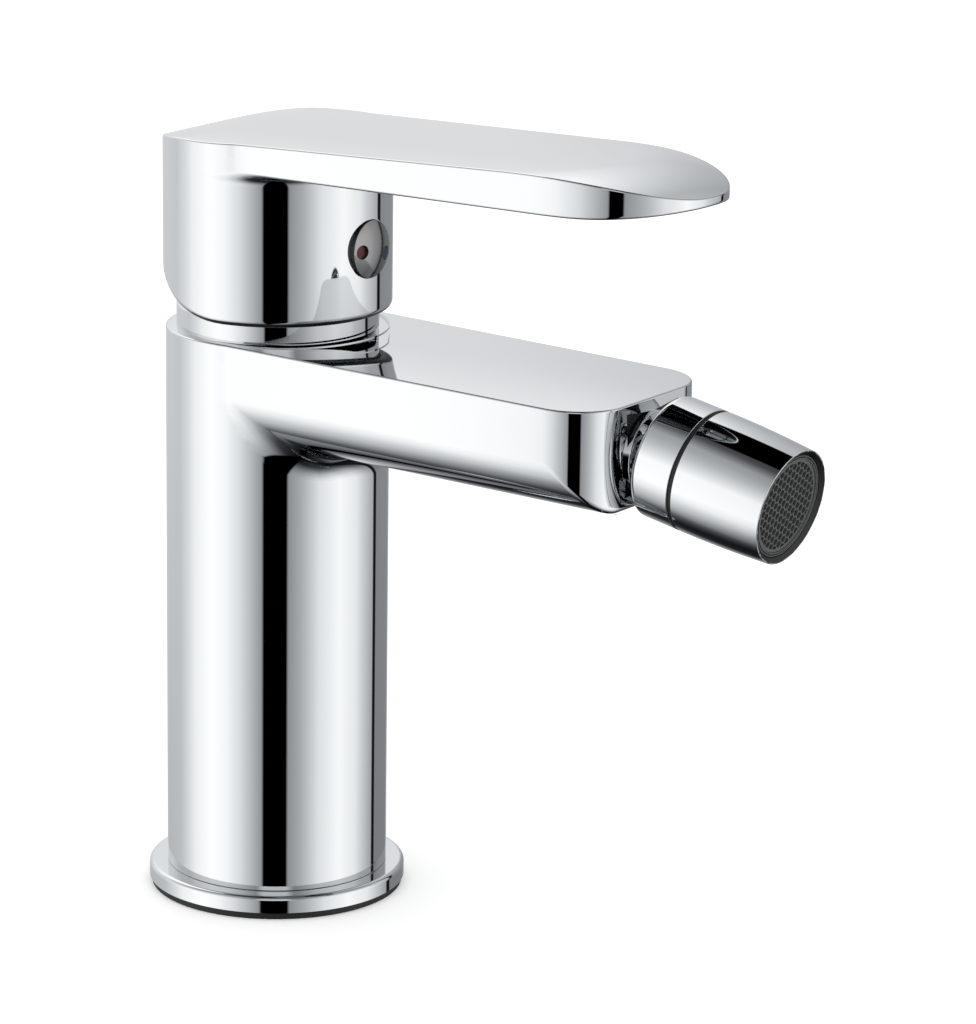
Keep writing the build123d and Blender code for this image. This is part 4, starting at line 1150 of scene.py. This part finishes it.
for ahead, side in ((COMB_FRONT, 1), (COMB_BACK, -1)):
    grid = np.stack([on_head_plane(rim_flat * reach, ahead), on_head_plane(rim_flat * COMB_R, ahead)])
    comb_patches.append(patch(grid, np.broadcast_to(side * comb_axis, grid.shape)))
grid = np.stack([on_head_plane(rim_flat * COMB_R, COMB_BACK), on_head_plane(rim_flat * COMB_R, COMB_FRONT)])
comb_patches.append(patch(grid, grid - BALL - ((grid - BALL) @ comb_axis)[..., None] * comb_axis))
comb = weld("honeycomb_moulded", comb_patches)
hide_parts("honeycomb_insert")
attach(comb, "head")
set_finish(comb, "aerator_plastic")

# %% [markdown]
# The small moulded and pressed pieces keep their frame shape. A copy of each is welded, and its corner normals
# are averaged only over faces that meet at a shallow angle, so curves shine smoothly and edges stay crisp.

# %% Pieces that keep their frame shape
SMALL_ANGLE = 35.0
for node, body_name, slot_name in (("index_plug", "lever", "plug_chrome"), ("hot_dot", "lever", "red_enamel"),
                                   ("cold_dot", "lever", "blue_enamel"),
                                   ("ball_o_ring", "ball_ring", "seal_rubber")):
    piece = weld(node + "_smooth", [taken_over(node, angle=SMALL_ANGLE)])
    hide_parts(node)
    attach(piece, body_name)
    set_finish(piece, slot_name)

# %% [markdown]
# Materials. Every finish is a short chain of nodes that ends in one surface shader. One small function adds a
# node with its settings and links, so each finish reads as a list of what goes into what. Colours are written
# as they are picked on a screen, and one function turns them into the linear values that Blender reckons with.

# %% Colours and nodes
PER_METRE = 1000.0


def linear(hex_colour):
    """An sRGB hex colour as the linear colour that Blender's sockets take."""
    parts = [int(hex_colour[i:i + 2], 16) / 255 for i in (1, 3, 5)]
    return [p / 12.92 if p <= 0.04045 else ((p + 0.055) / 1.055) ** 2.4 for p in parts] + [1.0]


def add(tree, kind, links=None, **settings):
    """One node with its settings and links. Settings are the node's own attributes. Links go by socket name or
    number, each to a plain value or to (node, output)."""
    node = tree.nodes.new(kind)
    for key, value in settings.items():
        setattr(node, key, value)
    for socket, value in (links or {}).items():
        if isinstance(value, tuple) and hasattr(value[0], "outputs"):
            tree.links.new(value[0].outputs[value[1]], node.inputs[socket])
        else:
            node.inputs[socket].default_value = value
    return node


def empty_material(name):
    """A new material whose node tree is empty."""
    material = bpy.data.materials.new(name)
    material.use_nodes = True
    material.node_tree.nodes.clear()
    return material, material.node_tree


finishes = {}
print("mid grey #808080 is", round(linear("#808080")[0], 3), "in linear light")

# %% [markdown]
# Chrome plate over polished metal. It could be a plain mirror, but a real one is never perfect: the polishing
# wheel leaves waves about two centimetres long, and the plate has clouds of haze. A noise in the roughness
# gives the clouds, and a very shallow bump gives the waves.

# %% Chrome plate
HAZE_MM = 12.5
WAVE_MM = 22.2
WAVE_DEPTH = 0.03 * MM
WAVE_STRENGTH = 0.25
CHROME_REFLECTS = 0.62


def chrome(name, colour, roughness, haze):
    """Chrome over polished metal: clouds of haze raise the roughness, waves of the wheel bend the mirror."""
    material, tree = empty_material(name)
    place = add(tree, "ShaderNodeTexCoord")
    clouds = add(tree, "ShaderNodeTexNoise", {"Vector": (place, "Object"), "Scale": PER_METRE / HAZE_MM,
                                              "Detail": 2.0})
    dull = add(tree, "ShaderNodeMapRange", {"Value": (clouds, "Fac"), "To Min": roughness,
                                            "To Max": roughness + haze})
    waves = add(tree, "ShaderNodeTexNoise", {"Vector": (place, "Object"), "Scale": PER_METRE / WAVE_MM,
                                             "Detail": 1.0})
    relief = add(tree, "ShaderNodeBump", {"Strength": WAVE_STRENGTH, "Distance": WAVE_DEPTH,
                                          "Height": (waves, "Fac")})
    surface = add(tree, "ShaderNodeBsdfPrincipled", {"Metallic": 1.0, "Base Color": linear(colour),
                                                     "Roughness": (dull, "Result"), "Normal": (relief, "Normal")})
    add(tree, "ShaderNodeOutputMaterial", {"Surface": (surface, "BSDF")})
    return material


# Chrome on polished brass: the eye gets a sharp, slightly cool mirror. Chromium sends back 62 percent of the
# light, so reflections of reflections sink quickly to black.
finishes["chrome_plate"] = chrome("chrome_plate_polished", "#CED0D2", 0.02, 0.015)
# Chrome on a moulded plastic plug: thinner and greyer, with a softer mirror, so the plug stands out.
finishes["plug_chrome"] = chrome("chrome_plate_on_plastic", "#8B8A8A", 0.08, 0.08)
print("chrome reflects", CHROME_REFLECTS, "haze every", HAZE_MM, "mm, waves every", WAVE_MM, "mm")

# %% [markdown]
# Rubber, plastic, ceramic and enamel are not metals: their colour lies under a clear surface, which reflects a
# little at every angle. A mould or a grinding disc leaves a grain a few tenths of a millimetre wide, which is
# bump and uneven gloss here, because cut as geometry it would need millions of faces and show no better.

# %% Moulded surfaces
SHADE_MM = 16.7
SHADE_DROP = 0.86
GLOSS_SPREAD = 0.15
GRAIN_STRENGTH = 0.4
PLASTIC_IOR = 1.5
ALUMINA_IOR = 1.76


def moulded(name, colour, roughness, grain_mm, depth_mm, ior=PLASTIC_IOR):
    """A moulded surface: a colour that wanders a little over some 17 mm, and a grain of the given size."""
    material, tree = empty_material(name)
    place = add(tree, "ShaderNodeTexCoord")
    patches = add(tree, "ShaderNodeTexNoise", {"Vector": (place, "Object"), "Scale": PER_METRE / SHADE_MM,
                                               "Detail": 2.0})
    darker = [c * SHADE_DROP for c in linear(colour)[:3]] + [1.0]
    mixed = add(tree, "ShaderNodeMix", {0: (patches, "Fac"), 6: darker, 7: linear(colour)}, data_type="RGBA")
    grain = add(tree, "ShaderNodeTexNoise", {"Vector": (place, "Object"), "Scale": PER_METRE / grain_mm,
                                             "Detail": 3.0})
    gloss = add(tree, "ShaderNodeMapRange", {"Value": (grain, "Fac"), "To Min": roughness * (1 - GLOSS_SPREAD),
                                             "To Max": roughness * (1 + GLOSS_SPREAD)})
    relief = add(tree, "ShaderNodeBump", {"Strength": GRAIN_STRENGTH, "Distance": depth_mm * MM,
                                          "Height": (grain, "Fac")})
    surface = add(tree, "ShaderNodeBsdfPrincipled", {"IOR": ior, "Base Color": (mixed, 2),
                                                     "Roughness": (gloss, "Result"), "Normal": (relief, "Normal")})
    add(tree, "ShaderNodeOutputMaterial", {"Surface": (surface, "BSDF")})
    return material


print("grain strength", GRAIN_STRENGTH)

# %% [markdown]
# What shows of these from outside is the foot's gasket, the ring in the swivel head, the aerator and the two
# dots. The rest sits inside the tap and shows only when a piece is lifted off.

# %% Rubbers, plastics and enamels that show
# Nitrile rubber, moulded: matt black, with a dull sheen where it turns to the light.
finishes["black_rubber"] = moulded("nitrile_rubber_moulded", "#101011", 0.62, 0.4, 0.02)
# Acetal, moulded dark grey: satin webs that are lighter than the holes between them.
finishes["aerator_plastic"] = moulded("acetal_moulded_dark_grey", "#545555", 0.38, 0.3, 0.005)
# Stoved enamel in a small pit: a deep red or blue that reads nearly black out of the light.
finishes["red_enamel"] = moulded("red_enamel_dot", "#5A1418", 0.45, 0.6, 0.004)
finishes["blue_enamel"] = moulded("blue_enamel_dot", "#101B45", 0.45, 0.6, 0.004)
# Painted shade: a matt near-black laid on the recesses and insides of the chromed pieces, standing for the shade
# there and the dark things they mirror. It gives the eye a black gap where a mirror would glitter.
finishes["unlit_casting"] = moulded("painted_shade_near_black", "#131315", 0.4, 0.8, 0.002)
print("finishes so far", len(finishes))

# %% Plastics and ceramics inside the tap
# Silicone rubber, moulded: softer and a little glossier than nitrile.
finishes["seal_rubber"] = moulded("silicone_rubber_moulded", "#26262A", 0.45, 0.4, 0.01)
# Nylon, moulded in its own colour: a warm off-white with a satin skin.
finishes["cartridge_plastic"] = moulded("nylon_moulded", "#D8D6CE", 0.42, 0.5, 0.01)
# Nylon filled with glass fibre: dark grey and rather dull, as the fibres roughen the skin.
finishes["housing_plastic"] = moulded("glass_filled_nylon_moulded", "#3A3D42", 0.5, 0.5, 0.02)
# Acetal, turned: a clean, waxy white.
finishes["white_acetal"] = moulded("acetal_turned", "#ECEAE4", 0.35, 0.5, 0.005)
# Alumina, lapped flat: white and hard, and glossier than any of the plastics.
finishes["alumina"] = moulded("alumina_ceramic_lapped", "#F1EFEA", 0.18, 0.3, 0.002, ior=ALUMINA_IOR)
print("finishes so far", len(finishes))

# %% [markdown]
# The bare metals inside keep the marks of the lathe. The marks run round the piece and lie a few tenths of a
# millimetre apart along it, so the noise is stretched across: ten times coarser sideways than along the axis.

# %% Bare metals inside the tap
MARK_STRETCH = (0.1, 0.1, 1.0)
MARK_DEPTH = 0.01 * MM
MARK_STRENGTH = 0.3
MARK_SPREAD = 0.2


def bare_metal(name, colour, roughness, mark_mm):
    """A machined metal: its own colour, and turning marks as a fine stretched grain."""
    material, tree = empty_material(name)
    place = add(tree, "ShaderNodeTexCoord")
    stretched = add(tree, "ShaderNodeMapping", {"Vector": (place, "Object"), "Scale": MARK_STRETCH})
    marks = add(tree, "ShaderNodeTexNoise", {"Vector": (stretched, "Vector"), "Scale": PER_METRE / mark_mm,
                                             "Detail": 2.0})
    gloss = add(tree, "ShaderNodeMapRange", {"Value": (marks, "Fac"), "To Min": roughness * (1 - MARK_SPREAD),
                                             "To Max": roughness * (1 + MARK_SPREAD)})
    relief = add(tree, "ShaderNodeBump", {"Strength": MARK_STRENGTH, "Distance": MARK_DEPTH,
                                          "Height": (marks, "Fac")})
    surface = add(tree, "ShaderNodeBsdfPrincipled", {"Metallic": 1.0, "Base Color": linear(colour),
                                                     "Roughness": (gloss, "Result"), "Normal": (relief, "Normal")})
    add(tree, "ShaderNodeOutputMaterial", {"Surface": (surface, "BSDF")})
    return material


# Stainless steel, ground: a grey metal with a soft, even gleam.
finishes["steel_pin"] = bare_metal("stainless_steel_ground", "#C9CACB", 0.3, 0.4)
# Zinc, die cast: duller and a little bluer than steel.
finishes["zinc_spindle"] = bare_metal("zinc_die_cast", "#B4B7BA", 0.45, 0.6)
# Brass, machined: yellow, bright on the ridges of the turning marks.
finishes["bare_brass"] = bare_metal("brass_machined", "#D9B36A", 0.3, 0.4)
print("finishes in all", len(finishes))

# %% [markdown]
# Each frame node names its finish in the frame's record, and each new piece carries the name of its slot. Both
# are looked up in one table, so a finish that is changed above changes everywhere.

# %% Give every piece its finish
slot_of = {part["node"]: part["material_slot"] for part in frame["record"]["subparts"]}
for node, thing in frame["nodes"].items():
    thing.data.materials.clear()
    thing.data.materials.append(finishes[slot_of[node]])
for piece in bpy.context.scene.objects:
    if "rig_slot" in piece:
        piece.data.materials.append(finishes[piece["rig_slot"]])
print("nodes without a finish", [n for n in frame["nodes"] if slot_of.get(n) not in finishes])

# %% [markdown]
# Four places of the chromed pieces lie in shade and mirror dark things, and there the shade is painted on as a
# near-black finish: under the cap, in the sleeve's mouth, on the side of the index plug and in the sunk field of
# the spout's end. A second material on those faces alone is simpler than cutting them off as pieces.

# %% A second finish on chosen faces
def paint_shade_on(piece, where):
    """Gives the faces whose middles satisfy where(places in millimetres, normals) the near-black finish of painted
    shade.
    """
    count = len(piece.data.polygons)
    middle, facing = np.empty(count * 3), np.empty(count * 3)
    piece.data.polygons.foreach_get("center", middle)
    piece.data.polygons.foreach_get("normal", facing)
    chosen = where(middle.reshape(-1, 3) / MM, facing.reshape(-1, 3))
    piece.data.materials.append(finishes["unlit_casting"])
    piece.data.polygons.foreach_set("material_index", chosen.astype(np.int32))
    print(piece.name, "unpolished faces", int(chosen.sum()), "of", count)


print("the second finish is", finishes["unlit_casting"].name)

# %% [markdown]
# Each place is chosen by where a face lies and which way it looks, so the choice still holds when a size above
# is changed.

# %% Dark insides
BORE_NEAR = 0.1
BORE_HIGH, LIP_HIGH = 140.0, 135.0
LIP_LEAN, PLUG_LEAN = 0.45, 0.3
RECESS_NEAR = 0.05
PLUG_FACE_R, PLUG_FACE_LEAN = 5.0, 0.5
SUNK_NEAR = 0.05
MOUTH_START = 1.0


def under_the_cap(p, n):
    """The cap's bore, the lip under it and the walls of the recess for the index plug."""
    bore = (np.hypot(p[:, 0], p[:, 1]) < CAP_BORE + BORE_NEAR) & (p[:, 2] < BORE_HIGH)
    lip = (n[:, 2] < -LIP_LEAN) & (p[:, 2] < LIP_HIGH)
    from_plug = np.stack([p[:, 1], p[:, 2] - INDEX_Z], -1)
    facing_plug = (from_plug * n[:, 1:]).sum(1) < -PLUG_LEAN
    near_plug = (p[:, 0] > FRONT_HALF) & (np.hypot(*from_plug.T) < INDEX_HOLE_R + RECESS_NEAR)
    return bore | lip | (facing_plug & near_plug)


def plug_rim(p, n):
    """The plug's side, which stands in the recess."""
    return (n[:, 0] < PLUG_FACE_LEAN) & (np.hypot(p[:, 1], p[:, 2] - INDEX_Z) > PLUG_FACE_R)


def in_the_mouth(p, n):
    """The sleeve's chamfer and bore, which face inwards to the head's axis."""
    ahead = (p - BALL) @ np.array(HEAD_AXIS)
    outward = p - BALL - ahead[:, None] * np.array(HEAD_AXIS)
    return ((outward * n).sum(1) < 0) & (ahead > MOUTH_START)


def spout_end(p, n):
    """The sunk part of the spout's end face, round the nipple."""
    sunk_face = (np.abs(p[:, 0] - SPOUT_REACH + END_SINK) < SUNK_NEAR) & (n[:, 0] > ALIKE)
    return sunk_face & (p[:, 2] > BODY_TOP - SPOUT_DEPTH - SPOUT_DROP)


# Painted shade: the chosen faces of these four pieces get the near-black finish.
paint_shade_on(handle, under_the_cap)
paint_shade_on(sleeve, in_the_mouth)
paint_shade_on(bpy.data.objects["index_plug_smooth"], plug_rim)
paint_shade_on(body, spout_end)

# %% [markdown]
# The camera stands a metre away with a long lens, as for a catalogue shot, so the tap is drawn almost without
# perspective. Its place was matched to the photograph: from square on to the tap's side it is turned 35 degrees
# towards the spout's end, 15 degrees above level, and rolled by less than a degree.

# %% Camera at the photograph's viewing angle
from mathutils import Matrix, Vector
VIEW_TURN = math.radians(35.23)
VIEW_RISE = math.radians(15.086)
VIEW_ROLL = math.radians(0.777)
VIEW_DISTANCE = 1.0
LENS = 169.64
SENSOR = 36.0
TARGET_RIGHT = 0.043605
TARGET_UP = 0.080617
level_back = math.cos(VIEW_RISE)
right = Vector((math.cos(VIEW_TURN), math.sin(VIEW_TURN), 0))
back = Vector((math.sin(VIEW_TURN) * level_back, -math.cos(VIEW_TURN) * level_back, math.sin(VIEW_RISE)))
up = back.cross(right)
target = right * TARGET_RIGHT + Vector((0, 0, TARGET_UP))
rolled_right = right * math.cos(VIEW_ROLL) + up * math.sin(VIEW_ROLL)
rolled_up = up * math.cos(VIEW_ROLL) - right * math.sin(VIEW_ROLL)
lens = bpy.data.cameras.new("product_camera")
lens.lens = LENS
lens.sensor_width = SENSOR
lens.clip_start = 0.05
lens.clip_end = 50
camera = bpy.data.objects.new("product_camera", lens)
bpy.context.scene.collection.objects.link(camera)
place = Matrix((rolled_right, rolled_up, back)).transposed().to_4x4()
place.translation = target + back * VIEW_DISTANCE
camera.matrix_world = place
bpy.context.scene.camera = camera
print("camera at", [round(v, 3) for v in camera.location])

# %% [markdown]
# The room is plain white and lights the tap from all sides at strength 1, at which a colour renders as it is
# written.

# %% White world
world = bpy.data.worlds.new("white_studio")
bpy.context.scene.world = world
world.use_nodes = True
world.node_tree.nodes.clear()
glow = add(world.node_tree, "ShaderNodeBackground", {"Color": linear("#FFFFFF"), "Strength": 1.0})
add(world.node_tree, "ShaderNodeOutputWorld", {"Surface": (glow, "Background")})
bpy.context.scene.view_settings.view_transform = "Standard"
print("view transform", bpy.context.scene.view_settings.view_transform)

# %% [markdown]
# The floor is matt white paper that takes the tap's soft shadow. Under a white room such paper comes out a
# little grey, so a glow that only the camera sees lifts it to the white of the background. It lies a hair
# below the gasket, as two faces at one height would flicker. The chrome does not mirror it: the tent below
# stands for the floor there too.

# %% Floor
FLOOR_DROP = 0.05 * MM
FLOOR_HALF = 6.0
FLOOR_LIFT = 0.22
corners = [(x * FLOOR_HALF, y * FLOOR_HALF, -FLOOR_DROP) for x, y in ((-1, -1), (1, -1), (1, 1), (-1, 1))]
sheet = bpy.data.meshes.new("studio_floor")
sheet.from_pydata(corners, [], [(0, 1, 2, 3)])
floor = bpy.data.objects.new("studio_floor", sheet)
bpy.context.scene.collection.objects.link(floor)
floor.visible_glossy = False
white, tree = empty_material("white_paper_floor")
path = add(tree, "ShaderNodeLightPath")
lift = add(tree, "ShaderNodeMath", {0: (path, "Is Camera Ray"), 1: FLOOR_LIFT}, operation="MULTIPLY")
paper = add(tree, "ShaderNodeBsdfPrincipled", {
    "Base Color": linear("#FFFFFF"), "Roughness": 1.0, "Specular IOR Level": 0.0,
    "Emission Color": linear("#FFFFFF"), "Emission Strength": (lift, "Value")})
add(tree, "ShaderNodeOutputMaterial", {"Surface": (paper, "BSDF")})
sheet.materials.append(white)
print("floor at", -FLOOR_DROP / MM, "mm")

# %% [markdown]
# Chrome only looks like chrome when it has something to mirror. A light tent suits it: bright walls left and
# right of the camera, a dark slot where the camera looks in, a dimmer back, and a black opening overhead. The
# tent here is a sphere that only reflections see, so the floor and the soft daylight stay plain.

# %% Light tent
TENT_RADIUS = 3.0


def studio_tent(radius):
    """A sphere of the given radius: point = radius * (cos e cos a, cos e sin a, sin e), facing inwards."""
    a = np.linspace(0, 2 * math.pi, 97)[:, None]
    e = np.linspace(-math.pi / 2, math.pi / 2, 49)[None]
    points = np.stack([np.cos(e) * np.cos(a), np.cos(e) * np.sin(a), np.sin(e) + 0 * a], -1) * radius / MM
    sphere = weld("studio_tent", [patch(points, -points)])
    sphere.visible_camera = sphere.visible_shadow = sphere.visible_diffuse = False
    return sphere


tent = studio_tent(TENT_RADIUS)
tent_cloth, tree = empty_material("studio_tent")
tent.data.materials.append(tent_cloth)

# %% [markdown]
# The tent's brightness depends on the direction seen from the tap: the angle round from the camera and the
# angle above level. Painting a picture of it would do as well, but worked out from the direction it stays
# sharp, and each wall can be named. First the two angles, and each as a share from 0 to 1.

# %% Directions in the tent
CAMERA_TURN = math.atan2(back.y, back.x)
place = add(tree, "ShaderNodeTexCoord")
turned_place = add(tree, "ShaderNodeVectorRotate", {"Vector": (place, "Object"), "Axis": (0, 0, 1),
                                                    "Angle": -CAMERA_TURN})
way = add(tree, "ShaderNodeVectorMath", {0: (turned_place, "Vector")}, operation="NORMALIZE")
axes = add(tree, "ShaderNodeSeparateXYZ", {0: (way, "Vector")})
turn = add(tree, "ShaderNodeMath", {0: (axes, "Y"), 1: (axes, "X")}, operation="ARCTAN2")
turn_share = add(tree, "ShaderNodeMath", {0: (turn, 0), 1: 0.5 / math.pi, 2: 0.5}, operation="MULTIPLY_ADD")
rise = add(tree, "ShaderNodeMath", {0: (axes, "Z")}, operation="ARCSINE")
rise_share = add(tree, "ShaderNodeMath", {0: (rise, 0), 1: 1 / math.pi, 2: 0.5}, operation="MULTIPLY_ADD")
print("camera stands", round(math.degrees(CAMERA_TURN), 1), "degrees round from ahead")

# %% [markdown]
# Three ramps hold the brightness, as stops of (degrees, level) with straight steps between them: the
# walls all the way round, the rise from below the tap to overhead at the sides, and the same at the back. The
# gap at 0 degrees is the slot for the camera, and the one at 120 is a black card that edges the right side.

# %% Brightness of the tent's walls
FULL_TURN, HALF_TURN = 360.0, 180.0
WALL_STOPS = (
    (-179, 0.62), (-150, 0.64), (-118, 0.72), (-92, 0.93), (-70, 1.0), (-52, 0.96), (-36, 0.85), (-22, 0.69),
    (-12.8, 0.57), (-12.2, 0.0), (12.2, 0.0), (12.8, 0.55), (26, 0.66), (46, 0.87), (70, 0.97), (92, 0.90),
    (108, 0.73), (120, 0.60), (121.2, 0.08), (125, 0.08), (126, 0.47), (162, 0.44), (179, 0.62))
SIDE_STOPS = (
    (-90, 0.05), (-66, 0.25), (-55, 0.52), (-44, 0.76), (-31, 0.93), (-20, 1.0), (12, 1.0), (24, 0.88),
    (38, 0.74), (50, 0.65), (57, 0.62), (64, 0.48), (72, 0.30), (90, 0.2))
REAR_STOPS = (
    (-90, 0.04), (-50, 0.12), (-44, 0.16), (-38, 0.38), (-26, 0.58), (-12, 0.70), (2, 0.75), (14, 0.79),
    (26, 0.88), (38, 0.96), (48, 1.0), (90, 1.0))
ramps = []
for share, full, stops in ((turn_share, FULL_TURN, WALL_STOPS), (rise_share, HALF_TURN, SIDE_STOPS),
                           (rise_share, HALF_TURN, REAR_STOPS)):
    ramp = add(tree, "ShaderNodeValToRGB", {"Fac": (share, 0)})
    elements = ramp.color_ramp.elements
    while len(elements) < len(stops):
        elements.new(1.0)
    for element, (degrees, level_here) in zip(elements, stops):
        element.position = 0.5 + degrees / full
        element.color = (level_here, level_here, level_here, 1.0)
    ramps.append(ramp)
walls, sides, rear = ramps
print("stops", [len(ramp.color_ramp.elements) for ramp in ramps])

# %% [markdown]
# The side ramp holds in front and the rear ramp behind, with a soft change between them. Over the camera a
# lintel closes the slot, so that flat tops seen from behind do not mirror a black bar.

# %% Join sides, back and lintel
BACK_START, BACK_SPAN, BACK_SOFT = 102.0, 38.0, 0.1
BACK_LEVEL = 0.62
LINTEL_LOW, LINTEL_HIGH, LINTEL_LEVEL = math.radians(5), math.radians(14), 0.9
SLOT_EDGE, SLOT_FADE = math.radians(12), math.radians(40)
away = add(tree, "ShaderNodeMath", {0: (turn, 0)}, operation="ABSOLUTE")
past = add(tree, "ShaderNodeMath", {0: (away, 0), 1: 1 / math.radians(BACK_SPAN), 2: -BACK_START / BACK_SPAN},
           operation="MULTIPLY_ADD")
past_only = add(tree, "ShaderNodeMath", {0: (past, 0), 1: 0.0}, operation="MAXIMUM")
behind = add(tree, "ShaderNodeMath", {0: (past_only, 0), 1: 1.0, 2: BACK_SOFT}, operation="SMOOTH_MIN")
before = add(tree, "ShaderNodeMath", {0: 1.0, 1: (behind, 0)}, operation="SUBTRACT")
lintel = add(tree, "ShaderNodeMapRange", {"Value": (rise, 0), "From Min": LINTEL_LOW, "From Max": LINTEL_HIGH,
                                          "To Max": LINTEL_LEVEL})
near_slot = add(tree, "ShaderNodeMapRange", {"Value": (away, 0), "From Min": SLOT_EDGE, "From Max": SLOT_FADE,
                                             "To Min": 1.0, "To Max": 0.0})
over_slot = add(tree, "ShaderNodeMath", {0: (lintel, "Result"), 1: (near_slot, "Result")}, operation="MULTIPLY")
round_wall = add(tree, "ShaderNodeMath", {0: (walls, "Color"), 1: (over_slot, 0)}, operation="MAXIMUM")
at_sides = add(tree, "ShaderNodeMath", {0: (round_wall, 0), 1: (sides, "Color")}, operation="MULTIPLY")
dim_rear = add(tree, "ShaderNodeMath", {0: (walls, "Color"), 1: (rear, "Color")}, operation="MULTIPLY")
at_rear = add(tree, "ShaderNodeMath", {0: (dim_rear, 0), 1: 1 / BACK_LEVEL}, operation="MULTIPLY")
rear_part = add(tree, "ShaderNodeMath", {0: (at_rear, 0), 1: (behind, 0)}, operation="MULTIPLY")
side_part = add(tree, "ShaderNodeMath", {0: (at_sides, 0), 1: (before, 0)}, operation="MULTIPLY")
all_round = add(tree, "ShaderNodeMath", {0: (rear_part, 0), 1: (side_part, 0)}, operation="ADD")
print("back starts", BACK_START, "degrees round from the camera")

# %% [markdown]
# Overhead, a little behind the tap, the tent has a round black opening. Levels so far are as the eye judges
# them, so they are raised to the power 2.2 for linear light. The chrome sends back 62 percent of it, so the
# tent is brighter by the same share. Where it is dim it is a little blue, as daylight from a side window is.

# %% Opening overhead, and the tent's light
OPENING_RISE = math.radians(78)
OPENING_OUTER, OPENING_INNER = math.radians(20), math.radians(18)
EYE_POWER = 2.2
opening_way = (-math.cos(OPENING_RISE), 0.0, math.sin(OPENING_RISE))
toward = add(tree, "ShaderNodeVectorMath", {0: (way, "Vector"), 1: opening_way}, operation="DOT_PRODUCT")
cover = add(tree, "ShaderNodeMapRange", {"Value": (toward, "Value"), "From Min": math.cos(OPENING_OUTER),
                                         "From Max": math.cos(OPENING_INNER), "To Min": 1.0, "To Max": 0.0})
seen = add(tree, "ShaderNodeMath", {0: (all_round, 0), 1: (cover, "Result")}, operation="MULTIPLY")
not_below = add(tree, "ShaderNodeMath", {0: (seen, 0), 1: 0.0}, operation="MAXIMUM")
light = add(tree, "ShaderNodeMath", {0: (not_below, 0), 1: EYE_POWER}, operation="POWER")
strength = add(tree, "ShaderNodeMath", {0: (light, 0), 1: CHROME_REFLECTS}, operation="DIVIDE")
tint = add(tree, "ShaderNodeMix", {0: (seen, 0), 6: linear("#EDF4FF"), 7: linear("#FFFFFD")}, data_type="RGBA")
glow = add(tree, "ShaderNodeEmission", {"Color": (tint, 2), "Strength": (strength, 0)})
add(tree, "ShaderNodeOutputMaterial", {"Surface": (glow, "Emission")})
print("tent nodes", len(tree.nodes))
